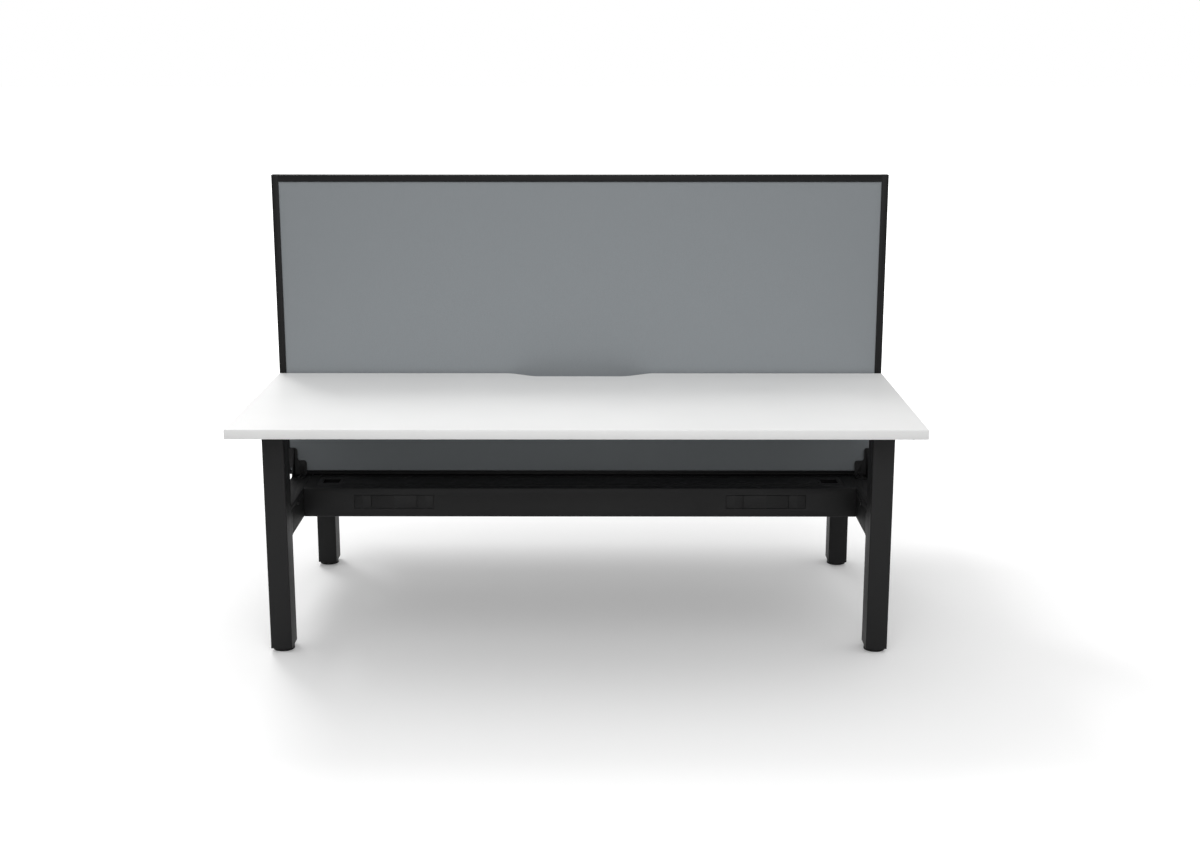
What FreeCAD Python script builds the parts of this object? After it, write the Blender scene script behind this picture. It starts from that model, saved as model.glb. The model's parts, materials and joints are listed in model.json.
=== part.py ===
import FreeCAD, Part
import math
import os
import Sketcher

# Back-to-back workstation: two worktops on four legs, joined at each end by a crossbar, with a cable tray
# along the middle and a fabric screen that stands on it. +X runs along the desk, +Y to the rear user, +Z up,
# and the origin is on the floor under the middle. All lengths are in millimetres.

SIZES = {
    # worktops and edging
    "top_length": 1800.0,
    "top_depth": 750.0,
    "top_thickness": 25.0,
    "desk_height": 725.0,
    "screen_side_gap": 5.0,
    "edging_thickness": 2.0,
    "scallop_mouth_length": 415.0,
    "scallop_flat_length": 270.0,
    "scallop_depth": 47.0,
    "scallop_round": 60.0,
    # legs
    "leg_width": 60.0,
    "leg_depth": 80.0,
    "leg_wall": 2.5,
    "leg_round": 3.0,
    "leg_end_inset": 27.0,
    "leg_setback": 326.0,
    "leg_lift": 12.6,
    # levelling feet
    "sole_radius": 30.0,
    "sole_thickness": 3.7,
    "sole_gap": 0.3,
    "disc_radius": 29.4,
    "disc_chamfer": 1.2,
    "disc_gap": 0.3,
    "stem_radius": 5.0,
    "stem_length": 44.0,
    "thread_clearance": 0.1,
    "foot_plate_thickness": 5.0,
    "foot_plate_clearance": 0.1,
    "boss_radius": 10.0,
    "boss_height": 15.0,
    # support arms and rails under the worktops
    "pad_thickness": 2.0,
    "pad_radius": 12.0,
    "arm_wall": 3.0,
    "arm_clearance": 0.2,
    "arm_height": 38.0,
    "arm_tip_height": 15.0,
    "arm_tip_setback": 50.0,
    "arm_front_setback": 70.0,
    "arm_straight": 160.0,
    "rail_depth": 40.0,
    "rail_height": 30.0,
    "rail_wall": 2.5,
    "rail_spread": 115.0,
    "rail_drop": 1.0,
    "rail_end_gap": 0.3,
    # tray and crossbars share their top and bottom levels
    "tray_top": 409.0,
    "tray_height": 87.0,
    "tray_reach": 168.0,
    "tray_sheet": 1.5,
    "tray_end_gap": 0.3,
    "tray_flange": 31.0,
    "tray_fold": 2.5,
    "fascia_return": 18.0,
    "fit_gap": 0.2,
    "ledge_width": 8.0,
    "ledge_weld": 10.0,
    "trough_flange": 7.0,
    "lid_gap": 0.8,
    "lid_seat_gap": 0.3,
    "bar_inset": 1.5,
    "bar_wall": 3.0,
    "bar_round": 2.5,
    "cover_lip": 12.0,
    "cover_sheet": 1.5,
    "cover_seam": 0.2,
    "stub_length": 16.0,
    "stub_seam": 0.6,
    "spigot_wall": 3.0,
    "bar_screw_height": 68.0,
    # knock-outs in the fascia, and the ports in the lid
    "knockout_end_inset": 149.2,
    "knockout_length": 234.0,
    "knockout_height": 40.0,
    "knockout_end": 50.0,
    "knockout_rise": 25.5,
    "knockout_cut": 1.2,
    "knockout_tab": 3.5,
    "port_end_inset": 14.4,
    "port_length": 49.0,
    "port_depth": 44.0,
    "port_setback": 30.0,
    "tie_hole_radius": 2.0,
    "tie_hole_offset": 8.5,
    "tie_hole_margin": 3.0,
    # centre beam
    "beam_width": 30.0,
    "beam_height": 60.0,
    "beam_wall": 2.5,
    "beam_end_wall": 5.0,
    "beam_drop": 7.0,
    # lid hinges
    "hinge_length": 60.0,
    "hinge_end_inset": 182.4,
    "hinge_setback": 13.0,
    "hinge_drop": 3.5,
    "knuckle_radius": 3.0,
    "knuckle_length": 15.0,
    "knuckle_gap": 1.0,
    "hinge_pin_radius": 1.5,
    "pin_clearance": 0.08,
    "leaf_sheet": 1.5,
    "leaf_reach": 30.0,
    "leaf_drop": 20.0,
    "lid_hinge_gap": 0.3,
    # screen
    "screen_height": 900.0,
    "screen_thickness": 30.0,
    "frame_face": 20.0,
    "bottom_face": 10.5,
    "frame_round": 4.0,
    "groove_depth": 8.0,
    "bottom_groove_depth": 6.0,
    "core_thickness": 16.0,
    "core_clearance": 0.3,
    "fabric_panel": 5.0,
    "fabric_gap": 0.4,
    "cap_thickness": 2.0,
    # screen brackets
    "bracket_sheet": 3.0,
    "bracket_inset": 15.0,
    "bracket_step": 27.0,
    "bracket_gusset_offset": 8.0,
    "bracket_outer_inset": 8.0,
    "bracket_height": 85.0,
    "bracket_low_height": 46.0,
    "bracket_notch": 26.0,
    "bracket_reach": 47.0,
    "bracket_tip": 5.0,
    "bracket_round": 8.0,
    "bracket_middle_gap": 0.5,
    # fasteners
    "bolt_radius": 3.0,
    "bolt_head_radius": 6.0,
    "bolt_head_height": 3.5,
    "bolt_bite": 6.0,
    "screw_radius": 2.0,
    "screw_head_radius": 4.0,
    "screw_head_height": 2.5,
    "screw_bite": 5.0,
    "wood_screw_bite": 15.0,
    "hole_clearance": 0.3,
    "cut_overrun": 1.0,
}

# Shares of what carries them, for the places of fasteners and for the length of the spigots
SPIGOT_SHARE = 0.6
BAR_SCREW_SHARE = 0.53
WORKTOP_SCREW_SHARES = (0.07, 0.3, 0.7, 0.93)
TRAY_BOLT_SHARES = (0.3, 0.75)
BRACKET_BOLT_SHARES = (0.5, 0.82)
BRACKET_SCREW_SHARES = (0.62, 0.88)
BOLT_DOWN_SHARE = 0.5

TOUCH = 0.001
PARTS_FOLDER = "parts"

doc = FreeCAD.newDocument("BackToBackWorkstation")
sheet = doc.addObject("Spreadsheet::Sheet", "Sizes")


class Size:
    """A length of the part: its value, and the expression that ties it to the cells of the sheet."""

    def __init__(self, value, text):
        self.value = value
        self.text = text

    def __add__(self, other):
        return Size(self.value + other.value, "(%s + %s)" % (self.text, other.text))

    def __sub__(self, other):
        return Size(self.value - other.value, "(%s - %s)" % (self.text, other.text))

    def __mul__(self, other):
        if isinstance(other, Size):
            return Size(self.value * other.value, "(%s * %s)" % (self.text, other.text))
        return Size(self.value * other, "(%s * %r)" % (self.text, other))

    def __truediv__(self, count):
        return Size(self.value / count, "(%s / %r)" % (self.text, count))

    def __neg__(self):
        return Size(-self.value, "(-1 * %s)" % self.text)


class Lengths:
    """Every size of the sheet under its own name."""


def fill_sheet():
    lengths = Lengths()
    for row, (alias, value) in enumerate(SIZES.items(), 1):
        sheet.set("A%d" % row, alias)
        sheet.set("B%d" % row, str(value))
        sheet.setAlias("B%d" % row, alias)
        setattr(lengths, alias, Size(value, "Sizes." + alias))
    doc.recompute()
    return lengths


ZERO = Size(0.0, "0")
s = fill_sheet()


def half_turn_tangent(rise, run):
    """The tangent of half the angle that a slope of this rise and run makes."""
    value = math.tan(math.atan2(rise.value, run.value) / 2)
    return Size(value, "tan(atan2(%s; %s) / 2)" % (rise.text, run.text))


# Places that several pieces share
half_length = s.top_length / 2
top_inner = s.screen_thickness / 2 + s.screen_side_gap
top_outer = top_inner + s.top_depth
top_under = s.desk_height - s.top_thickness
leg_outer_x = half_length - s.leg_end_inset
leg_inner_x = leg_outer_x - s.leg_width
leg_outer_y = top_outer - s.leg_setback
leg_inner_y = leg_outer_y - s.leg_depth
leg_middle_x = leg_outer_x - s.leg_width / 2
leg_middle_y = leg_outer_y - s.leg_depth / 2
arm_top = top_under - s.pad_thickness
arm_web = arm_top - s.arm_wall
arm_outer_x = leg_outer_x + s.arm_clearance + s.arm_wall
arm_inner_x = leg_inner_x - s.arm_clearance - s.arm_wall
arm_front_y = top_outer - s.arm_front_setback
arm_back_y = top_inner + s.arm_tip_setback
bar_low = s.tray_top - s.tray_height
bar_inner_x = leg_inner_x + s.bar_inset
bar_outer_x = leg_outer_x - s.bar_inset
bar_end_y = leg_inner_y - s.stub_length
bar_free_length = leg_inner_y - s.tray_reach
spigot_end_y = leg_inner_y - bar_free_length * SPIGOT_SHARE
bar_screw_y = leg_inner_y - bar_free_length * BAR_SCREW_SHARE
lip_low = s.tray_top - s.cover_lip
cover_under = s.tray_top - s.cover_sheet
cover_rebate = s.cover_sheet + s.cover_seam
tray_end_x = bar_inner_x - s.tray_end_gap
tray_inner_x = tray_end_x - s.tray_sheet
mouth_x = tray_end_x - s.tray_flange
mouth_y = s.tray_reach - s.tray_flange
sheet_under = s.tray_top - s.tray_sheet
beam_face = s.beam_width / 2
beam_top = s.tray_top - s.beam_drop
beam_low = beam_top - s.beam_height
hinge_y = beam_face + s.hinge_setback
hinge_z = s.tray_top - s.hinge_drop
lid_inner_y = hinge_y + s.knuckle_radius + s.lid_hinge_gap
lid_outer_y = mouth_y - s.lid_gap
lid_end_x = mouth_x - s.lid_gap
port_outer_x = lid_end_x - s.port_end_inset
port_inner_x = port_outer_x - s.port_length
end_hinge_x = lid_end_x - s.hinge_end_inset
screen_face = s.screen_thickness / 2
screen_low = s.tray_top + s.bracket_sheet
screen_top = screen_low + s.screen_height
screen_end_x = half_length
post_inner_x = screen_end_x - s.frame_face
bracket_inner_x = bar_inner_x + s.bracket_inset
bracket_step_x = bracket_inner_x + s.bracket_step
gusset_x = bracket_step_x + s.bracket_gusset_offset
bracket_outer_x = screen_end_x - s.bracket_outer_inset
bracket_face = screen_face + s.bracket_sheet
bolt_hole = s.bolt_radius + s.hole_clearance
screw_hole = s.screw_radius + s.hole_clearance

PIECES = {}


def keep(label, piece):
    """Names a finished piece, which is how its file is named too."""
    piece.Label = label
    PIECES[label] = piece
    return piece


def bind(piece, path, size):
    if size.text != ZERO.text:
        piece.setExpression(path, size.text)


def block(name, low, high):
    """A box from its lowest corner to its highest."""
    box = doc.addObject("Part::Box", name)
    for side, near, far in zip(("Length", "Width", "Height"), low, high):
        bind(box, side, far - near)
    place(box, low)
    return box


def place(piece, corner):
    for axis, near in zip("xyz", corner):
        bind(piece, "Placement.Base." + axis, near)


TURNS = {
    "x": FreeCAD.Rotation(FreeCAD.Vector(0, 1, 0), 90),
    "y": FreeCAD.Rotation(FreeCAD.Vector(1, 0, 0), -90),
    "z": FreeCAD.Rotation(),
}


def rod(name, start, axis, length, radius):
    """A cylinder that runs from start along the axis."""
    cylinder = doc.addObject("Part::Cylinder", name)
    cylinder.Placement = FreeCAD.Placement(FreeCAD.Vector(), TURNS[axis])
    bind(cylinder, "Radius", radius)
    bind(cylinder, "Height", length)
    place(cylinder, start)
    return cylinder


def group(name, members):
    compound = doc.addObject("Part::Compound", name)
    compound.Links = members
    return compound


def fuse(name, members):
    joined = doc.addObject("Part::MultiFuse", name)
    joined.Shapes = members
    return joined


CUTS = []


def cut(name, base, tools):
    """Takes the tools out of the base. Each cut is checked at the end for what it removed."""
    carved = doc.addObject("Part::Cut", name)
    carved.Base = base
    carved.Tool = tools[0] if len(tools) == 1 else group(name + "_tools", tools)
    CUTS.append(carved)
    return carved


def mirror(name, source, axis):
    """The same piece on the other side of the middle."""
    copy = doc.addObject("Part::Mirroring", name)
    copy.Source = source
    copy.Normal = FreeCAD.Vector(*[float(axis == other) for other in "xyz"])
    return copy


def both_ends(name, source):
    """A piece and its mirror image at the other end of the desk, as two solids of one node."""
    return group(name, [source, mirror(name + "_other_end", source, "x")])


def both_sides(name, source):
    """A piece and its mirror image for the other user, as two solids of one node."""
    return group(name, [source, mirror(name + "_other_side", source, "y")])


def origin_plane(body, role):
    return next(plane for plane in body.Origin.OriginFeatures if plane.Role == role)


def new_sketch(body, name, role, offset):
    sketch = body.newObject("Sketcher::SketchObject", name)
    sketch.AttachmentSupport = [(origin_plane(body, role), "")]
    sketch.MapMode = "FlatFace"
    bind(sketch, "AttachmentOffset.Base.z", offset)
    return sketch


def hold(sketch, kind, axis, line, size):
    """Holds the start of a line, its point 1, at its distance from the origin, or on the axis."""
    if size.text == ZERO.text:
        sketch.addConstraint(Sketcher.Constraint("PointOnObject", line, 1, axis))
        return
    constraint = Sketcher.Constraint(kind, -1, 1, line, 1, size.value)
    number = sketch.addConstraint(constraint)
    sketch.setExpression("Constraints[%d]" % number, size.text)


def outline(sketch, corners):
    """A closed outline through the corners. Each line's end, its point 2, is the next one's start."""
    first = sketch.GeometryCount
    count = len(corners)
    for start, end in zip(corners, corners[1:] + corners[:1]):
        ends = [FreeCAD.Vector(across.value, up.value, 0) for across, up in (start, end)]
        sketch.addGeometry(Part.LineSegment(*ends), False)
    for number in range(count):
        following = first + (number + 1) % count
        sketch.addConstraint(Sketcher.Constraint("Coincident", first + number, 2, following, 1))
    for number, (across, up) in enumerate(corners):
        hold(sketch, "DistanceX", -2, first + number, across)
        hold(sketch, "DistanceY", -1, first + number, up)


def prism(name, role, outlines, near, far):
    """A padded body. The outlines lie in the plane, and it runs from near to far along the third axis."""
    body = doc.addObject("PartDesign::Body", name)
    # the upright plane across the desk looks towards the front user, so depths count backwards there
    offset = -far if role == "XZ_Plane" else near
    sketch = new_sketch(body, name + "_outline", role, offset)
    for corners in outlines:
        outline(sketch, corners)
    pad = body.newObject("PartDesign::Pad", name + "_pad")
    pad.Profile = sketch
    bind(pad, "Length", far - near)
    return body


PLANE_AXES = {"XY_Plane": ("x", "y"), "XZ_Plane": ("x", "z"), "YZ_Plane": ("y", "z")}


def round_corners(body, role, corners, radius):
    """Rounds the edges that stand on these corners of the outline."""
    doc.recompute()
    names = []
    wanted = [(across.value, up.value) for across, up in corners]
    for number, edge in enumerate(body.Tip.Shape.Edges, 1):
        ends = [[getattr(vertex.Point, axis) for axis in PLANE_AXES[role]] for vertex in edge.Vertexes]
        for corner in wanted:
            if len(ends) == 2 and all(math.dist(end, corner) < TOUCH for end in ends):
                names.append("Edge%d" % number)
    if len(names) != len(wanted):
        raise ValueError("%s: %d edges found for %d corners" % (body.Name, len(names), len(wanted)))
    rounded = body.Tip
    fillet = body.newObject("PartDesign::Fillet", body.Name + "_round")
    fillet.Base = (rounded, names)
    bind(fillet, "Radius", radius)
    return fillet


def rectangle(low_across, high_across, low_up, high_up):
    return [(low_across, low_up), (high_across, low_up), (high_across, high_up), (low_across, high_up)]


def turned(name, profile):
    """A round body about its own upright axis, from half of its section."""
    body = doc.addObject("PartDesign::Body", name)
    sketch = new_sketch(body, name + "_profile", "XZ_Plane", ZERO)
    outline(sketch, profile)
    turn = body.newObject("PartDesign::Revolution", name + "_turn")
    turn.Profile = sketch
    turn.ReferenceAxis = (sketch, ["V_Axis"])
    turn.Angle = 360
    return body


def fastener(name, seat, axis, inward, length, big=True):
    """A screw or bolt whose head lies on the seat. Its shank runs along the axis, forwards or back."""
    radius = s.bolt_radius if big else s.screw_radius
    head_radius = s.bolt_head_radius if big else s.screw_head_radius
    head_height = s.bolt_head_height if big else s.screw_head_height
    number = "xyz".index(axis)
    behind = list(seat)
    ahead = list(seat)
    if inward > 0:
        behind[number] = seat[number] - head_height
    else:
        ahead[number] = seat[number] - length
    head = rod(name + "_head", behind, axis, head_height, head_radius)
    shank = rod(name + "_shank", ahead, axis, length, radius)
    return fuse(name, [head, shank])


def drill(name, seat, axis, inward, length, big=True):
    """The clearance hole for such a fastener, with an overrun at each end."""
    number = "xyz".index(axis)
    start = list(seat)
    start[number] = seat[number] - s.cut_overrun
    if inward < 0:
        start[number] = start[number] - length
    reach = length + s.cut_overrun * 2
    return rod(name, start, axis, reach, bolt_hole if big else screw_hole)


def worktop_screw_places():
    """Where the screws and pads of one arm lie along it."""
    for share in WORKTOP_SCREW_SHARES:
        yield leg_middle_x, arm_back_y + (arm_front_y - arm_back_y) * share


def worktop_blank(name, inset):
    """The worktop's outline drawn in by the inset, with the scallop in the edge beside the screen."""
    run = (s.scallop_mouth_length - s.scallop_flat_length) / 2
    draw_in = inset * half_turn_tangent(s.scallop_depth, run)
    end_x = half_length - inset
    near = top_inner + inset
    far = top_outer - inset
    mouth = s.scallop_mouth_length / 2 + draw_in
    floor = s.scallop_flat_length / 2 + draw_in
    deep = near + s.scallop_depth
    corners = [
        (-end_x, near),
        (-mouth, near),
        (-floor, deep),
        (floor, deep),
        (mouth, near),
        (end_x, near),
        (end_x, far),
        (-end_x, far),
    ]
    body = prism(name, "XY_Plane", [corners], top_under, s.desk_height)
    round_corners(body, "XY_Plane", [(-mouth, near), (mouth, near)], s.scallop_round - inset)
    round_corners(body, "XY_Plane", [(-floor, deep), (floor, deep)], s.scallop_round + inset)
    return body


def make_worktops():
    board = worktop_blank("board_blank", s.edging_thickness)
    pilots = []
    for number, (x, y) in enumerate(worktop_screw_places()):
        start = (x, y, top_under - s.cut_overrun)
        depth = s.wood_screw_bite + s.cut_overrun * 2
        hole = rod("pilot_%d" % number, start, "z", depth, screw_hole)
        pilots += [hole, mirror("pilot_%d_other_end" % number, hole, "x")]
    rear = keep("rear_worktop", cut("rear_worktop", board, pilots))
    keep("front_worktop", mirror("front_worktop", rear, "y"))
    whole = worktop_blank("edging_blank", ZERO)
    ring = keep("rear_worktop_edging", cut("rear_worktop_edging", whole, [board]))
    keep("front_worktop_edging", mirror("front_worktop_edging", ring, "y"))


def four_corners(name, source):
    """The rear right piece as made, and its mirror images at the other three corners."""
    rear_right = keep("rear_right_" + name, source)
    rear_left = keep("rear_left_" + name, mirror("rear_left_" + name, rear_right, "x"))
    keep("front_right_" + name, mirror("front_right_" + name, rear_right, "y"))
    keep("front_left_" + name, mirror("front_left_" + name, rear_left, "y"))


def make_legs():
    outer = rectangle(leg_inner_x, leg_outer_x, leg_inner_y, leg_outer_y)
    inner = rectangle(
        leg_inner_x + s.leg_wall,
        leg_outer_x - s.leg_wall,
        leg_inner_y + s.leg_wall,
        leg_outer_y - s.leg_wall,
    )
    tube = prism("leg_tube", "XY_Plane", [outer, inner], s.leg_lift, arm_web)
    round_corners(tube, "XY_Plane", outer, s.leg_round)
    holes = [drill("leg_%s" % name, seat, "x", way, s.bolt_bite * 2) for name, seat, way in arm_bolt_seats()]
    four_corners("leg", cut("leg_with_holes", tube, holes))


def arm_bolt_seats():
    """The bolts that go through an arm's two flanges into the leg."""
    height = arm_web - (s.arm_height - s.arm_wall) * BOLT_DOWN_SHARE
    yield "outer_bolt", (arm_outer_x, leg_middle_y, height), -1
    yield "inner_bolt", (arm_inner_x, leg_middle_y, height), 1


def make_foot_plates():
    space = s.leg_wall + s.foot_plate_clearance
    plate = block(
        "foot_plate_sheet",
        (leg_inner_x + space, leg_inner_y + space, s.leg_lift),
        (leg_outer_x - space, leg_outer_y - space, s.leg_lift + s.foot_plate_thickness),
    )
    middle = (leg_middle_x, leg_middle_y, s.leg_lift)
    tall = s.foot_plate_thickness + s.boss_height
    boss = rod("foot_plate_boss", middle, "z", tall, s.boss_radius)
    bore_start = (leg_middle_x, leg_middle_y, s.leg_lift - s.cut_overrun)
    bore_radius = s.stem_radius + s.thread_clearance
    bore = rod("foot_plate_bore", bore_start, "z", tall + s.cut_overrun * 2, bore_radius)
    piece = cut("foot_plate", fuse("foot_plate_blank", [plate, boss]), [bore])
    keep("leg_foot_plates", both_ends("leg_foot_plates", both_sides("foot_plate_pair", piece)))


def make_feet():
    sole_rim = s.disc_chamfer / 2
    sole = turned(
        "sole",
        [
            (ZERO, ZERO),
            (s.sole_radius - sole_rim, ZERO),
            (s.sole_radius, sole_rim),
            (s.sole_radius, s.sole_thickness),
            (ZERO, s.sole_thickness),
        ],
    )
    disc_low = s.sole_thickness + s.sole_gap
    disc_top = s.leg_lift - s.disc_gap
    foot = turned(
        "foot",
        [
            (ZERO, disc_low),
            (s.disc_radius, disc_low),
            (s.disc_radius, disc_top - s.disc_chamfer),
            (s.disc_radius - s.disc_chamfer, disc_top),
            (s.stem_radius, disc_top),
            (s.stem_radius, disc_top + s.stem_length),
            (ZERO, disc_top + s.stem_length),
        ],
    )
    for piece in (sole, foot):
        place(piece, (leg_middle_x, leg_middle_y, ZERO))
    four_corners("sole", sole)
    four_corners("foot", foot)


def arm_side(top, drop):
    """The side of an arm: straight over the leg, tapered to both tips."""
    tip = s.arm_tip_height - drop
    full = s.arm_height - drop
    return [
        (arm_back_y, top),
        (arm_back_y, top - tip),
        (leg_middle_y - s.arm_straight, top - full),
        (leg_middle_y + s.arm_straight, top - full),
        (arm_front_y, top - tip),
        (arm_front_y, top),
    ]


def make_arms():
    blank = prism("arm_blank", "YZ_Plane", [arm_side(arm_top, ZERO)], arm_inner_x, arm_outer_x)
    below = arm_top - s.arm_height - s.cut_overrun
    hollow = block(
        "arm_hollow",
        (arm_inner_x + s.arm_wall, arm_back_y - s.cut_overrun, below),
        (arm_outer_x - s.arm_wall, arm_front_y + s.cut_overrun, arm_web),
    )
    tools = [hollow]
    for number, (x, y) in enumerate(worktop_screw_places()):
        tools.append(drill("arm_screw_%d" % number, (x, y, arm_web), "z", 1, s.arm_wall, big=False))
    for name, seat, way in arm_bolt_seats():
        tools.append(drill("arm_" + name, seat, "x", way, s.arm_wall))
    for number, y in enumerate(rail_places()):
        seat = (arm_inner_x + s.arm_wall, y, rail_middle_z())
        tools.append(drill("arm_rail_bolt_%d" % number, seat, "x", -1, s.arm_wall))
    four_corners("arm", cut("arm", blank, tools))


def rail_places():
    return leg_middle_y - s.rail_spread, leg_middle_y + s.rail_spread


def rail_middle_z():
    return arm_web - s.rail_drop - s.rail_height / 2


def make_rails():
    end_x = arm_inner_x - s.rail_end_gap
    top = arm_web - s.rail_drop
    rails = []
    for number, y in enumerate(rail_places()):
        low_y = y - s.rail_depth / 2
        high_y = y + s.rail_depth / 2
        low_z = top - s.rail_height
        bar = block("rail_bar_%d" % number, (-end_x, low_y, low_z), (end_x, high_y, top))
        wall = s.rail_wall
        hollow = block(
            "rail_hollow_%d" % number,
            (-end_x + wall, low_y + wall, low_z + wall),
            (end_x - wall, high_y - wall, top - wall),
        )
        seat = (end_x, y, rail_middle_z())
        hole = drill("rail_hole_%d" % number, seat, "x", -1, wall)
        other = mirror("rail_hole_%d_other_end" % number, hole, "x")
        rails.append(cut("rail_%d" % number, bar, [hollow, hole, other]))
    pair = keep("rear_worktop_rails", group("rear_worktop_rails", rails))
    keep("front_worktop_rails", mirror("front_worktop_rails", pair, "y"))


def bar_section():
    """The crossbar's outer section, narrower at the top, where the cover's lips lie flush."""
    return [
        (bar_inner_x, bar_low),
        (bar_outer_x, bar_low),
        (bar_outer_x, lip_low - s.cover_seam),
        (bar_outer_x - cover_rebate, lip_low - s.cover_seam),
        (bar_outer_x - cover_rebate, cover_under),
        (bar_inner_x + cover_rebate, cover_under),
        (bar_inner_x + cover_rebate, lip_low - s.cover_seam),
        (bar_inner_x, lip_low - s.cover_seam),
    ]


def bar_hollow():
    wall = cover_rebate + s.bar_wall
    low = bar_low + s.bar_wall
    return rectangle(bar_inner_x + wall, bar_outer_x - wall, low, cover_under - s.bar_wall)


def bar_screw_seat():
    """The screw that holds the crossbar on its spigot, on the inner face."""
    return bar_inner_x, bar_screw_y, bar_low + s.bar_screw_height


def bracket_bolt_places():
    x = (bracket_inner_x + gusset_x) / 2
    for share in BRACKET_BOLT_SHARES:
        yield x, (screen_face + s.bracket_reach) * share


def spine_bolt_places():
    """Bolts between the crossbars and what spans them: two for each tray, and one for the beam."""
    height = (beam_low + beam_top) / 2
    for share in TRAY_BOLT_SHARES:
        yield s.tray_reach * share, height


def make_crossbars():
    tube = prism("bar_tube", "XZ_Plane", [bar_section(), bar_hollow()], -bar_end_y, bar_end_y)
    low_corners = [(bar_inner_x, bar_low), (bar_outer_x, bar_low)]
    round_corners(tube, "XZ_Plane", low_corners, s.bar_round)
    wall = s.bar_wall + cover_rebate
    tools = []
    screw = drill("bar_screw_hole", bar_screw_seat(), "x", 1, wall)
    tools += [screw, mirror("bar_screw_hole_other_side", screw, "y")]
    for number, (x, y) in enumerate(bracket_bolt_places()):
        hole = drill("bar_bracket_hole_%d" % number, (x, y, cover_under), "z", -1, s.bar_wall)
        tools += [hole, mirror("bar_bracket_hole_%d_other_side" % number, hole, "y")]
    for number, (y, z) in enumerate(spine_bolt_places()):
        hole = drill("bar_tray_hole_%d" % number, (bar_inner_x, y, z), "x", 1, wall)
        tools += [hole, mirror("bar_tray_hole_%d_other_side" % number, hole, "y")]
    beam_seat = (bar_inner_x, ZERO, (beam_low + beam_top) / 2)
    tools.append(drill("bar_beam_hole", beam_seat, "x", 1, wall))
    right = keep("right_crossbar", cut("right_crossbar", tube, tools))
    keep("left_crossbar", mirror("left_crossbar", right, "x"))


def make_crossbar_covers():
    section = [
        (bar_inner_x, lip_low),
        (bar_inner_x + s.cover_sheet, lip_low),
        (bar_inner_x + s.cover_sheet, cover_under),
        (bar_outer_x - s.cover_sheet, cover_under),
        (bar_outer_x - s.cover_sheet, lip_low),
        (bar_outer_x, lip_low),
        (bar_outer_x, s.tray_top),
        (bar_inner_x, s.tray_top),
    ]
    end_y = leg_inner_y - s.fit_gap
    cover = prism("cover_blank", "XZ_Plane", [section], -end_y, end_y)
    holes = []
    for number, (x, y) in enumerate(bracket_bolt_places()):
        hole = drill("cover_hole_%d" % number, (x, y, s.tray_top), "z", -1, s.cover_sheet)
        holes += [hole, mirror("cover_hole_%d_other_side" % number, hole, "y")]
    right = keep("right_crossbar_cover", cut("right_crossbar_cover", cover, holes))
    keep("left_crossbar_cover", mirror("left_crossbar_cover", right, "x"))


def make_spigots():
    """The stubs on the inner faces of the legs, each with a spigot that carries the end of a crossbar."""
    near = bar_end_y + s.stub_seam
    collar = prism("spigot_collar", "XZ_Plane", [bar_section(), bar_hollow()], near, leg_inner_y)
    gap = s.fit_gap
    wall = cover_rebate + s.bar_wall + gap
    low = bar_low + s.bar_wall + gap
    high = cover_under - s.bar_wall - gap
    outer = rectangle(bar_inner_x + wall, bar_outer_x - wall, low, high)
    inner_wall = wall + s.spigot_wall
    inner = rectangle(
        bar_inner_x + inner_wall,
        bar_outer_x - inner_wall,
        low + s.spigot_wall,
        high - s.spigot_wall,
    )
    tongue = prism("spigot_tongue", "XZ_Plane", [outer, inner], spigot_end_y, leg_inner_y)
    web = block(
        "spigot_web",
        (bar_inner_x + wall - gap, leg_inner_y - s.bar_wall, low - gap),
        (bar_outer_x - wall + gap, leg_inner_y, high + gap),
    )
    blank = fuse("spigot_blank", [collar, tongue, web])
    hole = drill("spigot_hole", bar_screw_seat(), "x", 1, wall + s.spigot_wall)
    spigot = cut("spigot", blank, [hole])
    keep("leg_spigots", both_ends("leg_spigots", both_sides("spigot_pair", spigot)))


def make_beam():
    outer = block("beam_bar", (-tray_end_x, -beam_face, beam_low), (tray_end_x, beam_face, beam_top))
    wall = s.beam_wall
    inner_x = tray_end_x - s.beam_end_wall
    hollow = block(
        "beam_hollow",
        (-inner_x, -beam_face + wall, beam_low + wall),
        (inner_x, beam_face - wall, beam_top - wall),
    )
    seat = (tray_end_x, ZERO, (beam_low + beam_top) / 2)
    hole = drill("beam_hole", seat, "x", -1, s.beam_end_wall)
    other = mirror("beam_hole_other_end", hole, "x")
    keep("centre_beam", cut("centre_beam", outer, [hollow, hole, other]))


def knockout_cuts():
    """Narrow cuts round three panels, which small tabs hold in the fascia."""
    low = bar_low + s.knockout_rise
    high = low + s.knockout_height
    near = s.tray_reach - s.tray_sheet - s.cut_overrun
    far = s.tray_reach + s.cut_overrun
    finish = tray_end_x - s.knockout_end_inset
    start = finish - s.knockout_length
    edges = [start, start + s.knockout_end, finish - s.knockout_end, finish]
    thin = s.knockout_cut / 2
    tools = []
    for number, x in enumerate(edges):
        low_corner = (x - thin, near, low - thin)
        tools.append(block("knockout_side_%d" % number, low_corner, (x + thin, far, high + thin)))
    for number, (left, right) in enumerate(zip(edges, edges[1:])):
        middle = (left + right) / 2
        tab = s.knockout_tab / 2
        for part, (from_x, to_x) in enumerate(((left, middle - tab), (middle + tab, right))):
            for level, z in enumerate((low, high)):
                name = "knockout_run_%d_%d_%d" % (number, part, level)
                tools.append(block(name, (from_x, near, z - thin), (to_x, far, z + thin)))
    return fuse("knockout_cuts", tools)


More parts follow.
